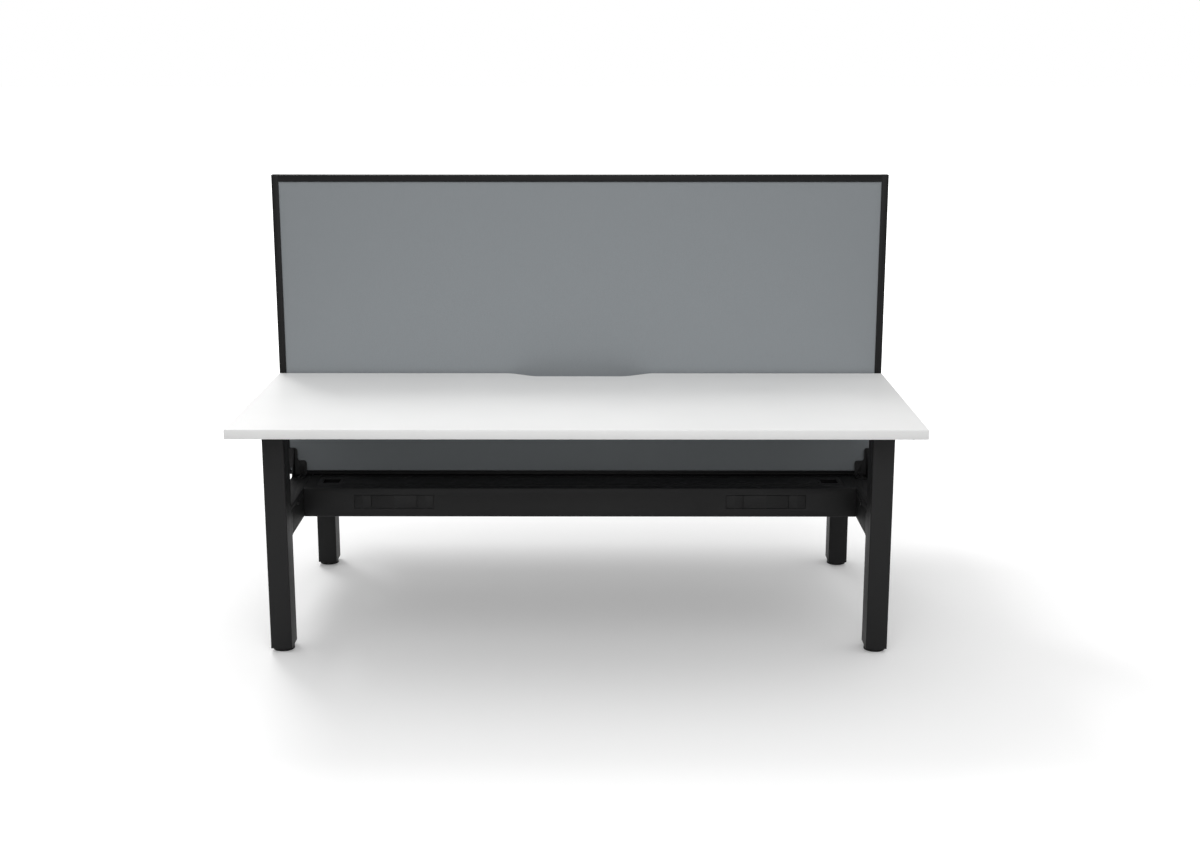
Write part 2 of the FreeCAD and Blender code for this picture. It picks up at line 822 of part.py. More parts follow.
def make_fascias():
    ledge_top = sheet_under - s.lid_seat_gap
    ledge_low = ledge_top - s.tray_sheet
    inner_face = s.tray_reach - s.tray_sheet
    return_edge = s.tray_reach - s.fascia_return
    bottom_top = bar_low + s.tray_sheet
    section = [
        (return_edge, bar_low),
        (s.tray_reach, bar_low),
        (s.tray_reach, s.tray_top),
        (mouth_y, s.tray_top),
        (mouth_y, ledge_top),
        (mouth_y - s.ledge_width, ledge_top),
        (mouth_y - s.ledge_width, ledge_low),
        (mouth_y + s.ledge_weld, ledge_low),
        (mouth_y + s.ledge_weld, sheet_under),
        (inner_face, sheet_under),
        (inner_face, bottom_top),
        (return_edge, bottom_top),
    ]
    sheet_metal = prism("fascia_sheet", "YZ_Plane", [section], -tray_end_x, tray_end_x)
    round_corners(sheet_metal, "YZ_Plane", [section[1], section[2]], s.tray_fold)
    wing = block(
        "fascia_wing",
        (mouth_x, beam_face + s.fit_gap, sheet_under),
        (tray_end_x, mouth_y, s.tray_top),
    )
    blank = fuse("fascia_blank", [sheet_metal, wing, mirror("fascia_wing_other_end", wing, "x")])
    cuts = knockout_cuts()
    rear = cut("rear_tray_fascia", blank, [cuts, mirror("knockout_cuts_other_end", cuts, "x")])
    keep("rear_tray_fascia", rear)
    keep("front_tray_fascia", mirror("front_tray_fascia", rear, "y"))


def make_troughs():
    bottom = bar_low + s.tray_sheet
    wall = beam_face + s.tray_sheet
    front = s.tray_reach - s.tray_sheet - s.fit_gap
    section = [
        (beam_face, bottom),
        (front, bottom),
        (front, bottom + s.tray_sheet),
        (wall, bottom + s.tray_sheet),
        (wall, sheet_under),
        (beam_face + s.trough_flange, sheet_under),
        (beam_face + s.trough_flange, s.tray_top),
        (beam_face, s.tray_top),
    ]
    end_x = mouth_x - s.fit_gap
    full_x = tray_inner_x - s.fit_gap
    blank = prism("trough_sheet", "YZ_Plane", [section], -full_x, full_x)
    above = (full_x + s.cut_overrun, wall + s.trough_flange, s.tray_top + s.cut_overrun)
    notch = block("trough_notch", (end_x, beam_face - s.cut_overrun, sheet_under - s.fit_gap), above)
    tools = [notch, mirror("trough_notch_other_end", notch, "x")]
    rear = keep("rear_tray_trough", cut("rear_tray_trough", blank, tools))
    keep("front_tray_trough", mirror("front_tray_trough", rear, "y"))


def make_tray_ends():
    gap = s.fit_gap
    plate = block(
        "tray_end_sheet",
        (tray_inner_x, beam_face + gap, bar_low + s.tray_sheet * 2 + gap),
        (tray_end_x, s.tray_reach - s.tray_sheet - gap, sheet_under),
    )
    ledge = block(
        "tray_end_notch",
        (
            tray_inner_x - s.cut_overrun,
            mouth_y - s.ledge_width - gap,
            sheet_under - s.lid_seat_gap - s.tray_sheet - gap,
        ),
        (tray_end_x + s.cut_overrun, mouth_y + s.ledge_weld + gap, s.tray_top),
    )
    tools = [ledge]
    for number, (y, z) in enumerate(spine_bolt_places()):
        tools.append(drill("tray_end_hole_%d" % number, (tray_inner_x, y, z), "x", 1, s.tray_sheet))
    plate = cut("tray_end_plate", plate, tools)
    keep("tray_end_plates", both_ends("tray_end_plates", both_sides("tray_end_pair", plate)))


def make_lids():
    sheet_metal = block(
        "lid_sheet",
        (-lid_end_x, lid_inner_y, sheet_under),
        (lid_end_x, lid_outer_y, s.tray_top),
    )
    port_far = lid_outer_y - s.port_setback
    port_near = port_far - s.port_depth
    low = sheet_under - s.cut_overrun
    high = s.tray_top + s.cut_overrun
    port = block("port", (port_inner_x, port_near, low), (port_outer_x, port_far, high))
    tools = [port]
    tie_x = port_inner_x - s.tie_hole_offset
    for number, y in enumerate((port_near + s.tie_hole_margin, port_far - s.tie_hole_margin)):
        tools.append(rod("tie_hole_%d" % number, (tie_x, y, low), "z", high - low, s.tie_hole_radius))
    tools += [mirror(tool.Name + "_other_end", tool, "x") for tool in tools]
    rear = keep("rear_tray_lid", cut("rear_tray_lid", sheet_metal, tools))
    keep("front_tray_lid", mirror("front_tray_lid", rear, "y"))


def hinge_middles():
    return -end_hinge_x, ZERO, end_hinge_x


def hinge_bore(name, middle):
    start = (middle - s.hinge_length / 2 - s.cut_overrun, hinge_y, hinge_z)
    reach = s.hinge_length + s.cut_overrun * 2
    return rod(name, start, "x", reach, s.hinge_pin_radius + s.pin_clearance)


def fixed_hinge(name, middle):
    """Two knuckles with straps to a leaf on the trough's upright wall."""
    wall = beam_face + s.tray_sheet
    low = middle - s.hinge_length / 2
    high = middle + s.hinge_length / 2
    strap_low = hinge_z - s.knuckle_radius
    strap_top = strap_low + s.leaf_sheet
    members = [
        block(
            name + "_leaf",
            (low, wall, strap_top - s.leaf_drop),
            (high, wall + s.leaf_sheet, strap_top),
        )
    ]
    for number, start in enumerate((low, high - s.knuckle_length)):
        end = start + s.knuckle_length
        knuckle = (start, hinge_y, hinge_z)
        knuckle_name = "%s_knuckle_%d" % (name, number)
        strap_name = "%s_strap_%d" % (name, number)
        members.append(rod(knuckle_name, knuckle, "x", s.knuckle_length, s.knuckle_radius))
        members.append(block(strap_name, (start, wall, strap_low), (end, hinge_y, strap_top)))
    return cut(name, fuse(name + "_blank", members), [hinge_bore(name + "_bore", middle)])


def moving_hinge(name, middle):
    """The middle knuckle, with a leaf under the lid."""
    start = middle - s.hinge_length / 2 + s.knuckle_length + s.knuckle_gap
    end = middle + s.hinge_length / 2 - s.knuckle_length - s.knuckle_gap
    knuckle = rod(name + "_knuckle", (start, hinge_y, hinge_z), "x", end - start, s.knuckle_radius)
    leaf = block(
        name + "_leaf",
        (start, hinge_y, sheet_under - s.leaf_sheet),
        (end, hinge_y + s.leaf_reach, sheet_under),
    )
    return cut(name, fuse(name + "_blank", [knuckle, leaf]), [hinge_bore(name + "_bore", middle)])


def make_hinges():
    fixed = []
    moving = []
    pins = []
    for number, middle in enumerate(hinge_middles()):
        fixed.append(fixed_hinge("fixed_hinge_%d" % number, middle))
        moving.append(moving_hinge("moving_hinge_%d" % number, middle))
        start = (middle - s.hinge_length / 2, hinge_y, hinge_z)
        pins.append(rod("hinge_pin_%d" % number, start, "x", s.hinge_length, s.hinge_pin_radius))
    keep("lid_hinge_brackets", both_sides("lid_hinge_brackets", group("hinge_brackets", fixed)))
    keep("lid_hinge_pins", both_sides("lid_hinge_pins", group("hinge_pins", pins)))
    rear = keep("rear_lid_leaves", group("rear_lid_leaves", moving))
    keep("front_lid_leaves", mirror("front_lid_leaves", rear, "y"))


def grooved(inner, outer, depth):
    """Half of a frame section: a groove of this depth in the inner edge takes the core board."""
    half = s.core_thickness / 2 + s.core_clearance
    floor = inner + depth
    return [
        (inner, -screen_face),
        (outer, -screen_face),
        (outer, screen_face),
        (inner, screen_face),
        (inner, half),
        (floor, half),
        (floor, -half),
        (inner, -half),
    ]


def make_screen_frame():
    post_top = screen_top - s.cap_thickness
    section = grooved(post_inner_x, screen_end_x, s.groove_depth)
    post = prism("screen_post", "XY_Plane", [section], screen_low, post_top)
    round_corners(post, "XY_Plane", [section[1], section[2]], s.frame_round)
    tools = []
    for number, (x, z) in enumerate(post_screw_places()):
        hole = drill("post_hole_%d" % number, (x, screen_face, z), "y", -1, s.screw_bite, big=False)
        tools += [hole, mirror("post_hole_%d_other_side" % number, hole, "y")]
    right = keep("screen_right_post", cut("screen_right_post", post, tools))
    keep("screen_left_post", mirror("screen_left_post", right, "x"))
    cap_outline = rectangle(post_inner_x, screen_end_x, -screen_face, screen_face)
    cap = prism("post_cap", "XY_Plane", [cap_outline], post_top, screen_top)
    round_corners(cap, "XY_Plane", [cap_outline[1], cap_outline[2]], s.frame_round)
    keep("screen_post_caps", both_ends("screen_post_caps", cap))
    end_x = post_inner_x - s.fit_gap
    low = screen_top - s.frame_face
    top_section = [(y, z) for z, y in grooved(low, screen_top, s.groove_depth)]
    top_rail = prism("screen_top_rail", "YZ_Plane", [top_section], -end_x, end_x)
    round_corners(top_rail, "YZ_Plane", [top_section[1], top_section[2]], s.frame_round)
    keep("screen_top_rail", top_rail)
    high = screen_low + s.bottom_face
    # the bottom rail is drawn upside down, because its groove opens upwards
    low_section = [(y, -z) for z, y in grooved(-high, -screen_low, s.bottom_groove_depth)]
    bottom = prism("bottom_rail", "YZ_Plane", [low_section], -end_x, end_x)
    holes = []
    for number, (x, z) in enumerate(rail_screw_places()):
        hole = drill("rail_screw_%d" % number, (x, screen_face, z), "y", -1, s.screw_bite, big=False)
        near = mirror("rail_screw_%d_other_side" % number, hole, "y")
        holes += [hole, near]
    holes += [mirror(hole.Name + "_other_end", hole, "x") for hole in holes]
    keep("screen_bottom_rail", cut("screen_bottom_rail", bottom, holes))


def make_screen_panels():
    slack = s.core_clearance * 2
    core_x = post_inner_x + s.groove_depth - slack
    core_low = screen_low + s.bottom_face - s.bottom_groove_depth + slack
    core_top = screen_top - s.frame_face + s.groove_depth - slack
    half = s.core_thickness / 2
    core = block("screen_core", (-core_x, -half, core_low), (core_x, half, core_top))
    keep("screen_core", core)
    panel_x = post_inner_x - s.fabric_gap
    panel_low = screen_low + s.bottom_face + s.fabric_gap
    panel_top = screen_top - s.frame_face - s.fabric_gap
    face = half + s.fabric_panel
    rear = block("screen_rear_panel", (-panel_x, half, panel_low), (panel_x, face, panel_top))
    keep("screen_rear_panel", rear)
    keep("screen_front_panel", mirror("screen_front_panel", rear, "y"))


def post_screw_places():
    x = post_inner_x + (bracket_outer_x - post_inner_x) / 2
    for share in BRACKET_SCREW_SHARES:
        yield x, s.tray_top + s.bracket_height * share


def rail_screw_places():
    return [((bracket_inner_x + bracket_step_x) / 2, screen_low + s.bottom_face / 2)]


def make_brackets():
    step_z = s.tray_top + s.bracket_low_height
    high_z = s.tray_top + s.bracket_height
    notch_z = s.tray_top + s.bracket_notch
    corners = [
        (bracket_inner_x, s.tray_top),
        (bracket_inner_x, step_z),
        (bracket_step_x, step_z),
        (bracket_step_x, high_z),
        (bracket_outer_x, high_z),
        (bracket_outer_x, notch_z),
        (gusset_x + s.bracket_sheet, notch_z),
        (gusset_x + s.bracket_sheet, s.tray_top),
    ]
    plate = prism("bracket_plate", "XZ_Plane", [corners], screen_face, bracket_face)
    round_corners(plate, "XZ_Plane", corners[1:5], s.bracket_round)
    reach_y = screen_face + s.bracket_reach
    gusset_corners = [
        (bracket_face, s.tray_top),
        (reach_y, s.tray_top),
        (reach_y, s.tray_top + s.bracket_sheet + s.bracket_tip),
        (bracket_face + s.bracket_tip, high_z),
        (bracket_face, high_z),
    ]
    gusset = prism("bracket_gusset", "YZ_Plane", [gusset_corners], gusset_x, gusset_x + s.bracket_sheet)
    foot_outline = rectangle(
        bracket_inner_x,
        gusset_x + s.bracket_sheet,
        s.bracket_middle_gap / 2,
        reach_y,
    )
    foot = prism("bracket_foot", "XY_Plane", [foot_outline], s.tray_top, screen_low)
    round_corners(foot, "XY_Plane", [foot_outline[3]], s.bracket_round)
    blank = fuse("bracket_blank", [plate, gusset, foot])
    tools = []
    for number, (x, y) in enumerate(bracket_bolt_places()):
        tools.append(drill("bracket_bolt_hole_%d" % number, (x, y, screen_low), "z", -1, s.bracket_sheet))
    for number, (x, z) in enumerate(bracket_screw_places()):
        seat = (x, bracket_face, z)
        tools.append(drill("bracket_screw_hole_%d" % number, seat, "y", -1, s.bracket_sheet, big=False))
    bracket = cut("bracket", blank, tools)
    pair = keep("right_screen_brackets", both_sides("right_screen_brackets", bracket))
    keep("left_screen_brackets", mirror("left_screen_brackets", pair, "x"))


def bracket_screw_places():
    return [*post_screw_places(), *rail_screw_places()]


def make_pads_and_worktop_screws():
    pads = []
    screws = []
    for number, (x, y) in enumerate(worktop_screw_places()):
        pad = rod("pad_disc_%d" % number, (x, y, arm_top), "z", s.pad_thickness, s.pad_radius)
        start = (x, y, arm_top - s.cut_overrun)
        reach = s.pad_thickness + s.cut_overrun * 2
        hole = rod("pad_hole_%d" % number, start, "z", reach, screw_hole)
        pads.append(cut("pad_%d" % number, pad, [hole]))
        length = s.arm_wall + s.pad_thickness + s.wood_screw_bite
        screws.append(fastener("worktop_screw_%d" % number, (x, y, arm_web), "z", 1, length, big=False))
    pad_set = both_sides("pad_set", group("arm_pads", pads))
    keep("worktop_pads", both_ends("worktop_pads", pad_set))
    screw_set = both_sides("screw_set", group("arm_screws", screws))
    keep("worktop_screws", both_ends("worktop_screws", screw_set))


def make_bolts():
    arm_bolts = []
    for name, seat, way in arm_bolt_seats():
        length = s.arm_wall + s.arm_clearance + s.leg_wall + s.bolt_bite
        arm_bolts.append(fastener("arm_" + name + "_piece", seat, "x", way, length))
    for number, y in enumerate(rail_places()):
        seat = (arm_inner_x + s.arm_wall, y, rail_middle_z())
        length = s.arm_wall + s.rail_end_gap + s.rail_wall + s.bolt_bite
        arm_bolts.append(fastener("rail_bolt_%d" % number, seat, "x", -1, length))
    arm_set = both_sides("arm_bolt_set", group("arm_bolt_group", arm_bolts))
    keep("arm_bolts", both_ends("arm_bolts", arm_set))
    wall = cover_rebate + s.bar_wall
    bar_length = wall + s.fit_gap + s.spigot_wall + s.bolt_bite
    bar_screw = fastener("bar_screw", bar_screw_seat(), "x", 1, bar_length)
    keep("crossbar_screws", both_ends("crossbar_screws", both_sides("bar_screw_pair", bar_screw)))
    tray_length = s.tray_sheet + s.tray_end_gap + wall + s.bolt_bite
    tray_bolts = []
    for number, (y, z) in enumerate(spine_bolt_places()):
        tray_bolts.append(fastener("tray_bolt_%d" % number, (tray_inner_x, y, z), "x", 1, tray_length))
    tray_set = both_sides("tray_bolt_set", group("tray_bolt_group", tray_bolts))
    beam_seat = (bar_inner_x + wall, ZERO, (beam_low + beam_top) / 2)
    beam_length = wall + s.tray_end_gap + s.beam_end_wall + s.bolt_bite
    beam_bolt = fastener("beam_bolt", beam_seat, "x", -1, beam_length)
    keep("spine_bolts", both_ends("spine_bolts", group("spine_bolt_group", [tray_set, beam_bolt])))
    foot_bolts = []
    for number, (x, y) in enumerate(bracket_bolt_places()):
        length = s.bracket_sheet + s.cover_sheet + s.bar_wall + s.bolt_bite
        foot_bolts.append(fastener("bracket_bolt_%d" % number, (x, y, screen_low), "z", -1, length))
    foot_set = both_sides("bracket_bolt_set", group("bracket_bolt_group", foot_bolts))
    keep("bracket_bolts", both_ends("bracket_bolts", foot_set))
    screws = []
    for number, (x, z) in enumerate(bracket_screw_places()):
        length = s.bracket_sheet + s.screw_bite
        seat = (x, bracket_face, z)
        screws.append(fastener("screen_screw_%d" % number, seat, "y", -1, length, big=False))
    screw_set = both_sides("screen_screw_set", group("screen_screw_group", screws))
    keep("screen_screws", both_ends("screen_screws", screw_set))


def solids_of(shape):
    return [solid for solid in shape.Solids if solid.Volume > 0]


def check_pieces():
    """Stops here if a step failed, a cut took nothing away, or a piece isn't sound."""
    for item in doc.Objects:
        if "Invalid" in item.State or "Error" in item.State:
            raise ValueError("%s failed: %s" % (item.Name, item.State))
    for carved in CUTS:
        if carved.Shape.Volume >= carved.Base.Shape.Volume:
            raise ValueError("%s removed nothing" % carved.Name)
    for label, piece in PIECES.items():
        shape = piece.Shape
        if shape.isNull() or not shape.isValid() or not solids_of(shape):
            raise ValueError("%s has no sound shape" % label)


def export_pieces():
    os.makedirs(PARTS_FOLDER, exist_ok=True)
    for label, piece in PIECES.items():
        piece.Shape.exportStep(os.path.join(PARTS_FOLDER, label + ".step"))
        print("%-26s %3d solids" % (label, len(piece.Shape.Solids)))
    print(len(PIECES), "pieces")


def main():
    make_worktops()
    make_legs()
    make_foot_plates()
    make_feet()
    make_arms()
    make_rails()
    make_crossbars()
    make_crossbar_covers()
    make_spigots()
    make_beam()
    make_fascias()
    make_troughs()
    make_tray_ends()
    make_lids()
    make_hinges()
    make_screen_frame()
    make_screen_panels()
    make_brackets()
    make_pads_and_worktop_screws()
    make_bolts()
    doc.recompute()
    check_pieces()
    export_pieces()


main()
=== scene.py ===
import json
import math

import bmesh
import bpy
from bpy.props import FloatProperty, FloatVectorProperty, IntProperty, PointerProperty
from mathutils import Matrix, Vector

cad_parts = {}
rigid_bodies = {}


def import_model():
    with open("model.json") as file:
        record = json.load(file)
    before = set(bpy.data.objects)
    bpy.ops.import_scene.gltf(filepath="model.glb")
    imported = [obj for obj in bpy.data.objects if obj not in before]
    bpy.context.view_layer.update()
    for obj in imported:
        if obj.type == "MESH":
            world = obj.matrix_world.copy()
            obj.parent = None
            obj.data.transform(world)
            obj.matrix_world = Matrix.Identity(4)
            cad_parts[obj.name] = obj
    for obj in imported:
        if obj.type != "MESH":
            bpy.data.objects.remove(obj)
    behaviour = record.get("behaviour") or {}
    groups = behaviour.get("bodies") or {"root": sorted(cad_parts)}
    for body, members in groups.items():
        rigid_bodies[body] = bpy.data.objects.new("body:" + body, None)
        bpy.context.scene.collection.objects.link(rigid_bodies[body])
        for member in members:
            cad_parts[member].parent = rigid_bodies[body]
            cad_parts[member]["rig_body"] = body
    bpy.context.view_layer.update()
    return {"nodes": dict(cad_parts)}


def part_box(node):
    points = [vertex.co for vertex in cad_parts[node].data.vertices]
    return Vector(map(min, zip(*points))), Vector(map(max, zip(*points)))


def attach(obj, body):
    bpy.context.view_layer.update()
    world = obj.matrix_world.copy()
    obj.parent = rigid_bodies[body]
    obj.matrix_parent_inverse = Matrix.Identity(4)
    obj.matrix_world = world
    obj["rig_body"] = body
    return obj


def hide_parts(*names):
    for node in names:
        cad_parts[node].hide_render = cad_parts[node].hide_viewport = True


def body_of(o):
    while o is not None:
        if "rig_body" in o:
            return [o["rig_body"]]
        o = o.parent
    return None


# The finishes of the back-to-back workstation: laminate worktops, black powder-coated steel, a
# black screen frame with grey woven panels, perforated tray lids, screws and levelling feet.
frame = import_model()

bl_info = {
    "name": "Back-to-back workstation",
    "version": (1, 0, 0),
    "blender": (4, 5, 0),
    "location": "3D View > Sidebar > Workstation",
    "description": "Finishes the worktops, frame, cable tray, screen and feet",
    "category": "Object",
}

SIDES = ("front", "rear")
ENDS = ("left", "right")
CORNERS = [side + "_" + end for side in SIDES for end in ENDS]
BLACK_SCREWS = ("arm_bolts", "crossbar_screws", "spine_bolts", "bracket_bolts", "screen_screws")

# the finishes
LAMINATE = "White laminate"
STRIP = "White edge strip"
COAT = "Black powder coat"
PERFORATED = "Perforated powder coat"
POSTS = "Screen posts"
RAILS = "Screen rails"
FABRIC = "Grey woven fabric"
BOARD = "Core board"
RUBBER = "Black rubber"
ZINC = "Zinc-plated steel"
OXIDE = "Black oxide"

# angles between faces, and lengths in metres
MERGE = 1e-6
FLAT = math.radians(1.0)
SHARP = math.radians(28.0)
SMOOTH = math.radians(40.0)
WIDEST_FACET = 0.020

# how finely round shapes and roundings are built
ROUND_STEPS = 32
ROLL_STEPS = 4
STRIP_STEPS = 3
HEAD_STEPS = 24
HEAD_ROUNDING_STEPS = 3

# shares of the metal's softening, for thin sheet and for the post caps
THIN_SHARE = 0.6
CAP_SHARE = 0.8

# how far in the middle of a rounded corner lies, as a share of its radius
CORNER_SHARE = 0.3

# shares of a screw's head radius or height, and of its shank radius
HEAD_ROUNDING = 0.3
SOCKET_CORNER = 0.55
SOCKET_DEPTH = 0.6
SHANK_END = 0.85

# a point past the first share of the head's radius is on the head, within the second on the shank
ON_HEAD = 0.9
ON_SHANK = 0.8

# a foot's stem and sole: shares of the radius, and whether that point of the sole lies in a groove
THREAD_ROOT = 0.86
TREAD = ((0.55, True), (0.58, False), (0.70, False), (0.72, True), (0.78, True), (0.80, False))

# the studio
FLOOR_REACH = 60.0
FLOOR_DROP = 0.0004
LAMP_AIM = Vector((0.0, 0.0, 0.4))
ORIGIN = (0.0, 0.0, 0.0)

# colours and the stretch of drawn lines that the finishes share
WHITE = (1.0, 1.0, 1.0, 1.0)
DUST = (0.12, 0.115, 0.11, 1.0)
# near-black painted shade for a lid's punched holes: the dark tray inside, seen through them
HOLE_SHADE = (0.0008, 0.0008, 0.0008, 1.0)
DRAWN_UP = (1500.0, 1500.0, 9.0)
DRAWN_ALONG = (9.0, 1500.0, 1500.0)


def setting(kind, name, description, default, **limits):
    """A value that the panel shows."""
    return kind(name=name, description=description, default=default, **limits)


def colour_setting(*shown):
    """A colour, as linear values."""
    return setting(FloatVectorProperty, *shown, size=3, min=0.0, max=1.0, subtype="COLOR")


def length_setting(name, description, default, low, high):
    """A length in metres."""
    limits = {"min": low, "max": high, "precision": 5, "subtype": "DISTANCE", "unit": "LENGTH"}
    return setting(FloatProperty, name, description, default, **limits)


def place_setting(*shown):
    """A point in metres."""
    return setting(FloatVectorProperty, *shown, size=3, subtype="TRANSLATION", unit="LENGTH")


def extent_setting(name, default):
    """A width and a length in metres."""
    limits = {"size": 2, "min": 0.1, "subtype": "XYZ", "unit": "LENGTH"}
    return setting(FloatVectorProperty, name, "Width and length", default, **limits)


def power_setting(name, default):
    """A lamp's power in watts."""
    limits = {"min": 0.0, "max": 2000.0, "subtype": "POWER", "unit": "POWER"}
    return setting(FloatProperty, name, "Power in watts", default, **limits)


def share_setting(name, description, default, high=1.0):
    """A share, or a strength with a limit of its own."""
    limits = {"min": 0.0, "max": high, "subtype": "FACTOR"}
    return setting(FloatProperty, name, description, default, **limits)


def angle_setting(*shown):
    return setting(FloatProperty, *shown, subtype="ANGLE", unit="ROTATION")


class WorkstationColours(bpy.types.PropertyGroup):
    """Colours of the finishes, as linear values."""

    laminate: colour_setting("Laminate", "White laminate of the worktops", (0.848, 0.848, 0.843))
    edge_strip: colour_setting("Edge strip", "White strip round the worktops", (0.88, 0.88, 0.875))
    coat: colour_setting("Powder coat", "Coat of the frame and tray", (0.0105, 0.0105, 0.0108))
    lid: colour_setting("Lid coat", "Coat of the perforated tray lids", (0.0175, 0.0175, 0.0180))
    screen_frame: colour_setting("Screen frame", "Coat of the frame", (0.0105, 0.0105, 0.0108))
    fabric: colour_setting("Fabric", "Grey woven fabric of the screen", (0.279, 0.299, 0.314))
    core: colour_setting("Core board", "Bare board inside the screen", (0.42, 0.33, 0.23))
    rubber: colour_setting("Rubber", "Rubber of the soles and pads", (0.012, 0.012, 0.012))
    zinc: colour_setting("Zinc", "Zinc plating of the worktop screws", (0.56, 0.57, 0.58))
    oxide: colour_setting("Black oxide", "Blackened screws and feet", (0.0085, 0.0085, 0.0088))


class WorkstationSizes(bpy.types.PropertyGroup):
    """Small sizes that the finishes add to the frame."""

    metal_softening: length_setting(
        "Metal edge softening", "Rounding of folded and cut metal edges", 0.0005, 0.0001, 0.0007
    )
    strip_softening: length_setting(
        "Edge strip softening", "Rounding of the worktop's outer edges", 0.0010, 0.0001, 0.0018
    )
    fabric_crown: length_setting(
        "Fabric crown", "How far a panel's middle swells past its edges", 0.0008, 0.0, 0.0019
    )
    fabric_roll: length_setting(
        "Fabric roll", "Radius over which the fabric turns in", 0.0025, 0.0005, 0.0040
    )
    thread_pitch: length_setting(
        "Thread pitch", "Distance between threads of the fabric", 0.0016, 0.0005, 0.0060
    )
    hole_pitch: length_setting(
        "Perforation pitch", "Distance between holes in the tray lids", 0.0074, 0.003, 0.03
    )
    hole_radius: length_setting(
        "Perforation radius", "Radius of a hole in the tray lids", 0.0013, 0.0004, 0.003
    )
    perforated_half: length_setting(
        "Perforated half length", "How far the holes reach from a lid's middle", 0.700, 0.1, 0.78
    )
    perforation_margin: length_setting(
        "Perforation margin", "Plain border along the long edges of a lid", 0.008, 0.002, 0.04
    )
    stem_pitch: length_setting(
        "Stem thread pitch", "Distance between the threads of a foot's stem", 0.0015, 0.0008, 0.003
    )
    stem_radius: length_setting("Stem radius", "Radius of a foot's stem", 0.005, 0.004, 0.005)
    foot_rim: length_setting("Foot rim", "Rounding of a foot's disc", 0.0012, 0.0004, 0.002)
    foot_gap: length_setting("Foot gap", "Gap between disc and leg", 0.0003, 0.0001, 0.001)


class WorkstationStage(bpy.types.PropertyGroup):
    """The studio: lamps, floor and camera."""

    sky_low: share_setting("Sky at the horizon", "Soft white light from the sides", 0.0, 3.0)
    sky_high: share_setting("Sky overhead", "Soft white light from above", 1.07, 3.0)
    floor_tone: share_setting("Floor tone", "How light the floor looks", 0.90)
    floor_bounce: share_setting("Floor bounce", "How much light the floor sends back", 0.28)
    floor_lift: share_setting("Floor lift", "Extra white that the camera sees there", 0.115)
    fade_near: length_setting("Fade start", "Where the floor turns whiter", 1.5, 0.0, 60.0)
    fade_far: length_setting("Fade end", "Where the floor is plain white", 7.0, 1.0, 60.0)
    key_place: place_setting("Key lamp place", "Behind and to the left", (-1.9, 2.3, 4.6))
    key_size: extent_setting("Key lamp size", (1.2, 2.2))
    key_power: power_setting("Key lamp power", 87.0)
    back_place: place_setting("Back lamp place", "Behind the desk", (-0.5, 4.5, 3.0))
    back_size: extent_setting("Back lamp size", (3.0, 3.0))
    back_power: power_setting("Back lamp power", 50.0)
    fill_place: place_setting("Fill lamp place", "Above the camera", (0.2, -4.5, 3.6))
    fill_size: extent_setting("Fill lamp size", (4.0, 4.0))
    fill_power: power_setting("Fill lamp power", 74.0)
    front_place: place_setting("Front lamp place", "Low, behind the camera", (0.2, -5.5, 1.6))
    front_size: extent_setting("Front lamp size", (3.0, 3.0))
    front_power: power_setting("Front lamp power", 45.0)
    lens: FloatProperty(
        name="Lens",
        description="Focal length of the camera in millimetres",
        default=50.0,
        min=10.0,
        max=200.0,
        subtype="DISTANCE_CAMERA",
    )
    camera_place: place_setting("Camera place", "Where it stands", (0.0725, -4.9070, 1.6868))
    camera_tilt: angle_setting("Camera tilt", "How far it looks down", math.radians(13.0))
    camera_turn: angle_setting("Camera turn", "How far it turns left", math.radians(0.16))


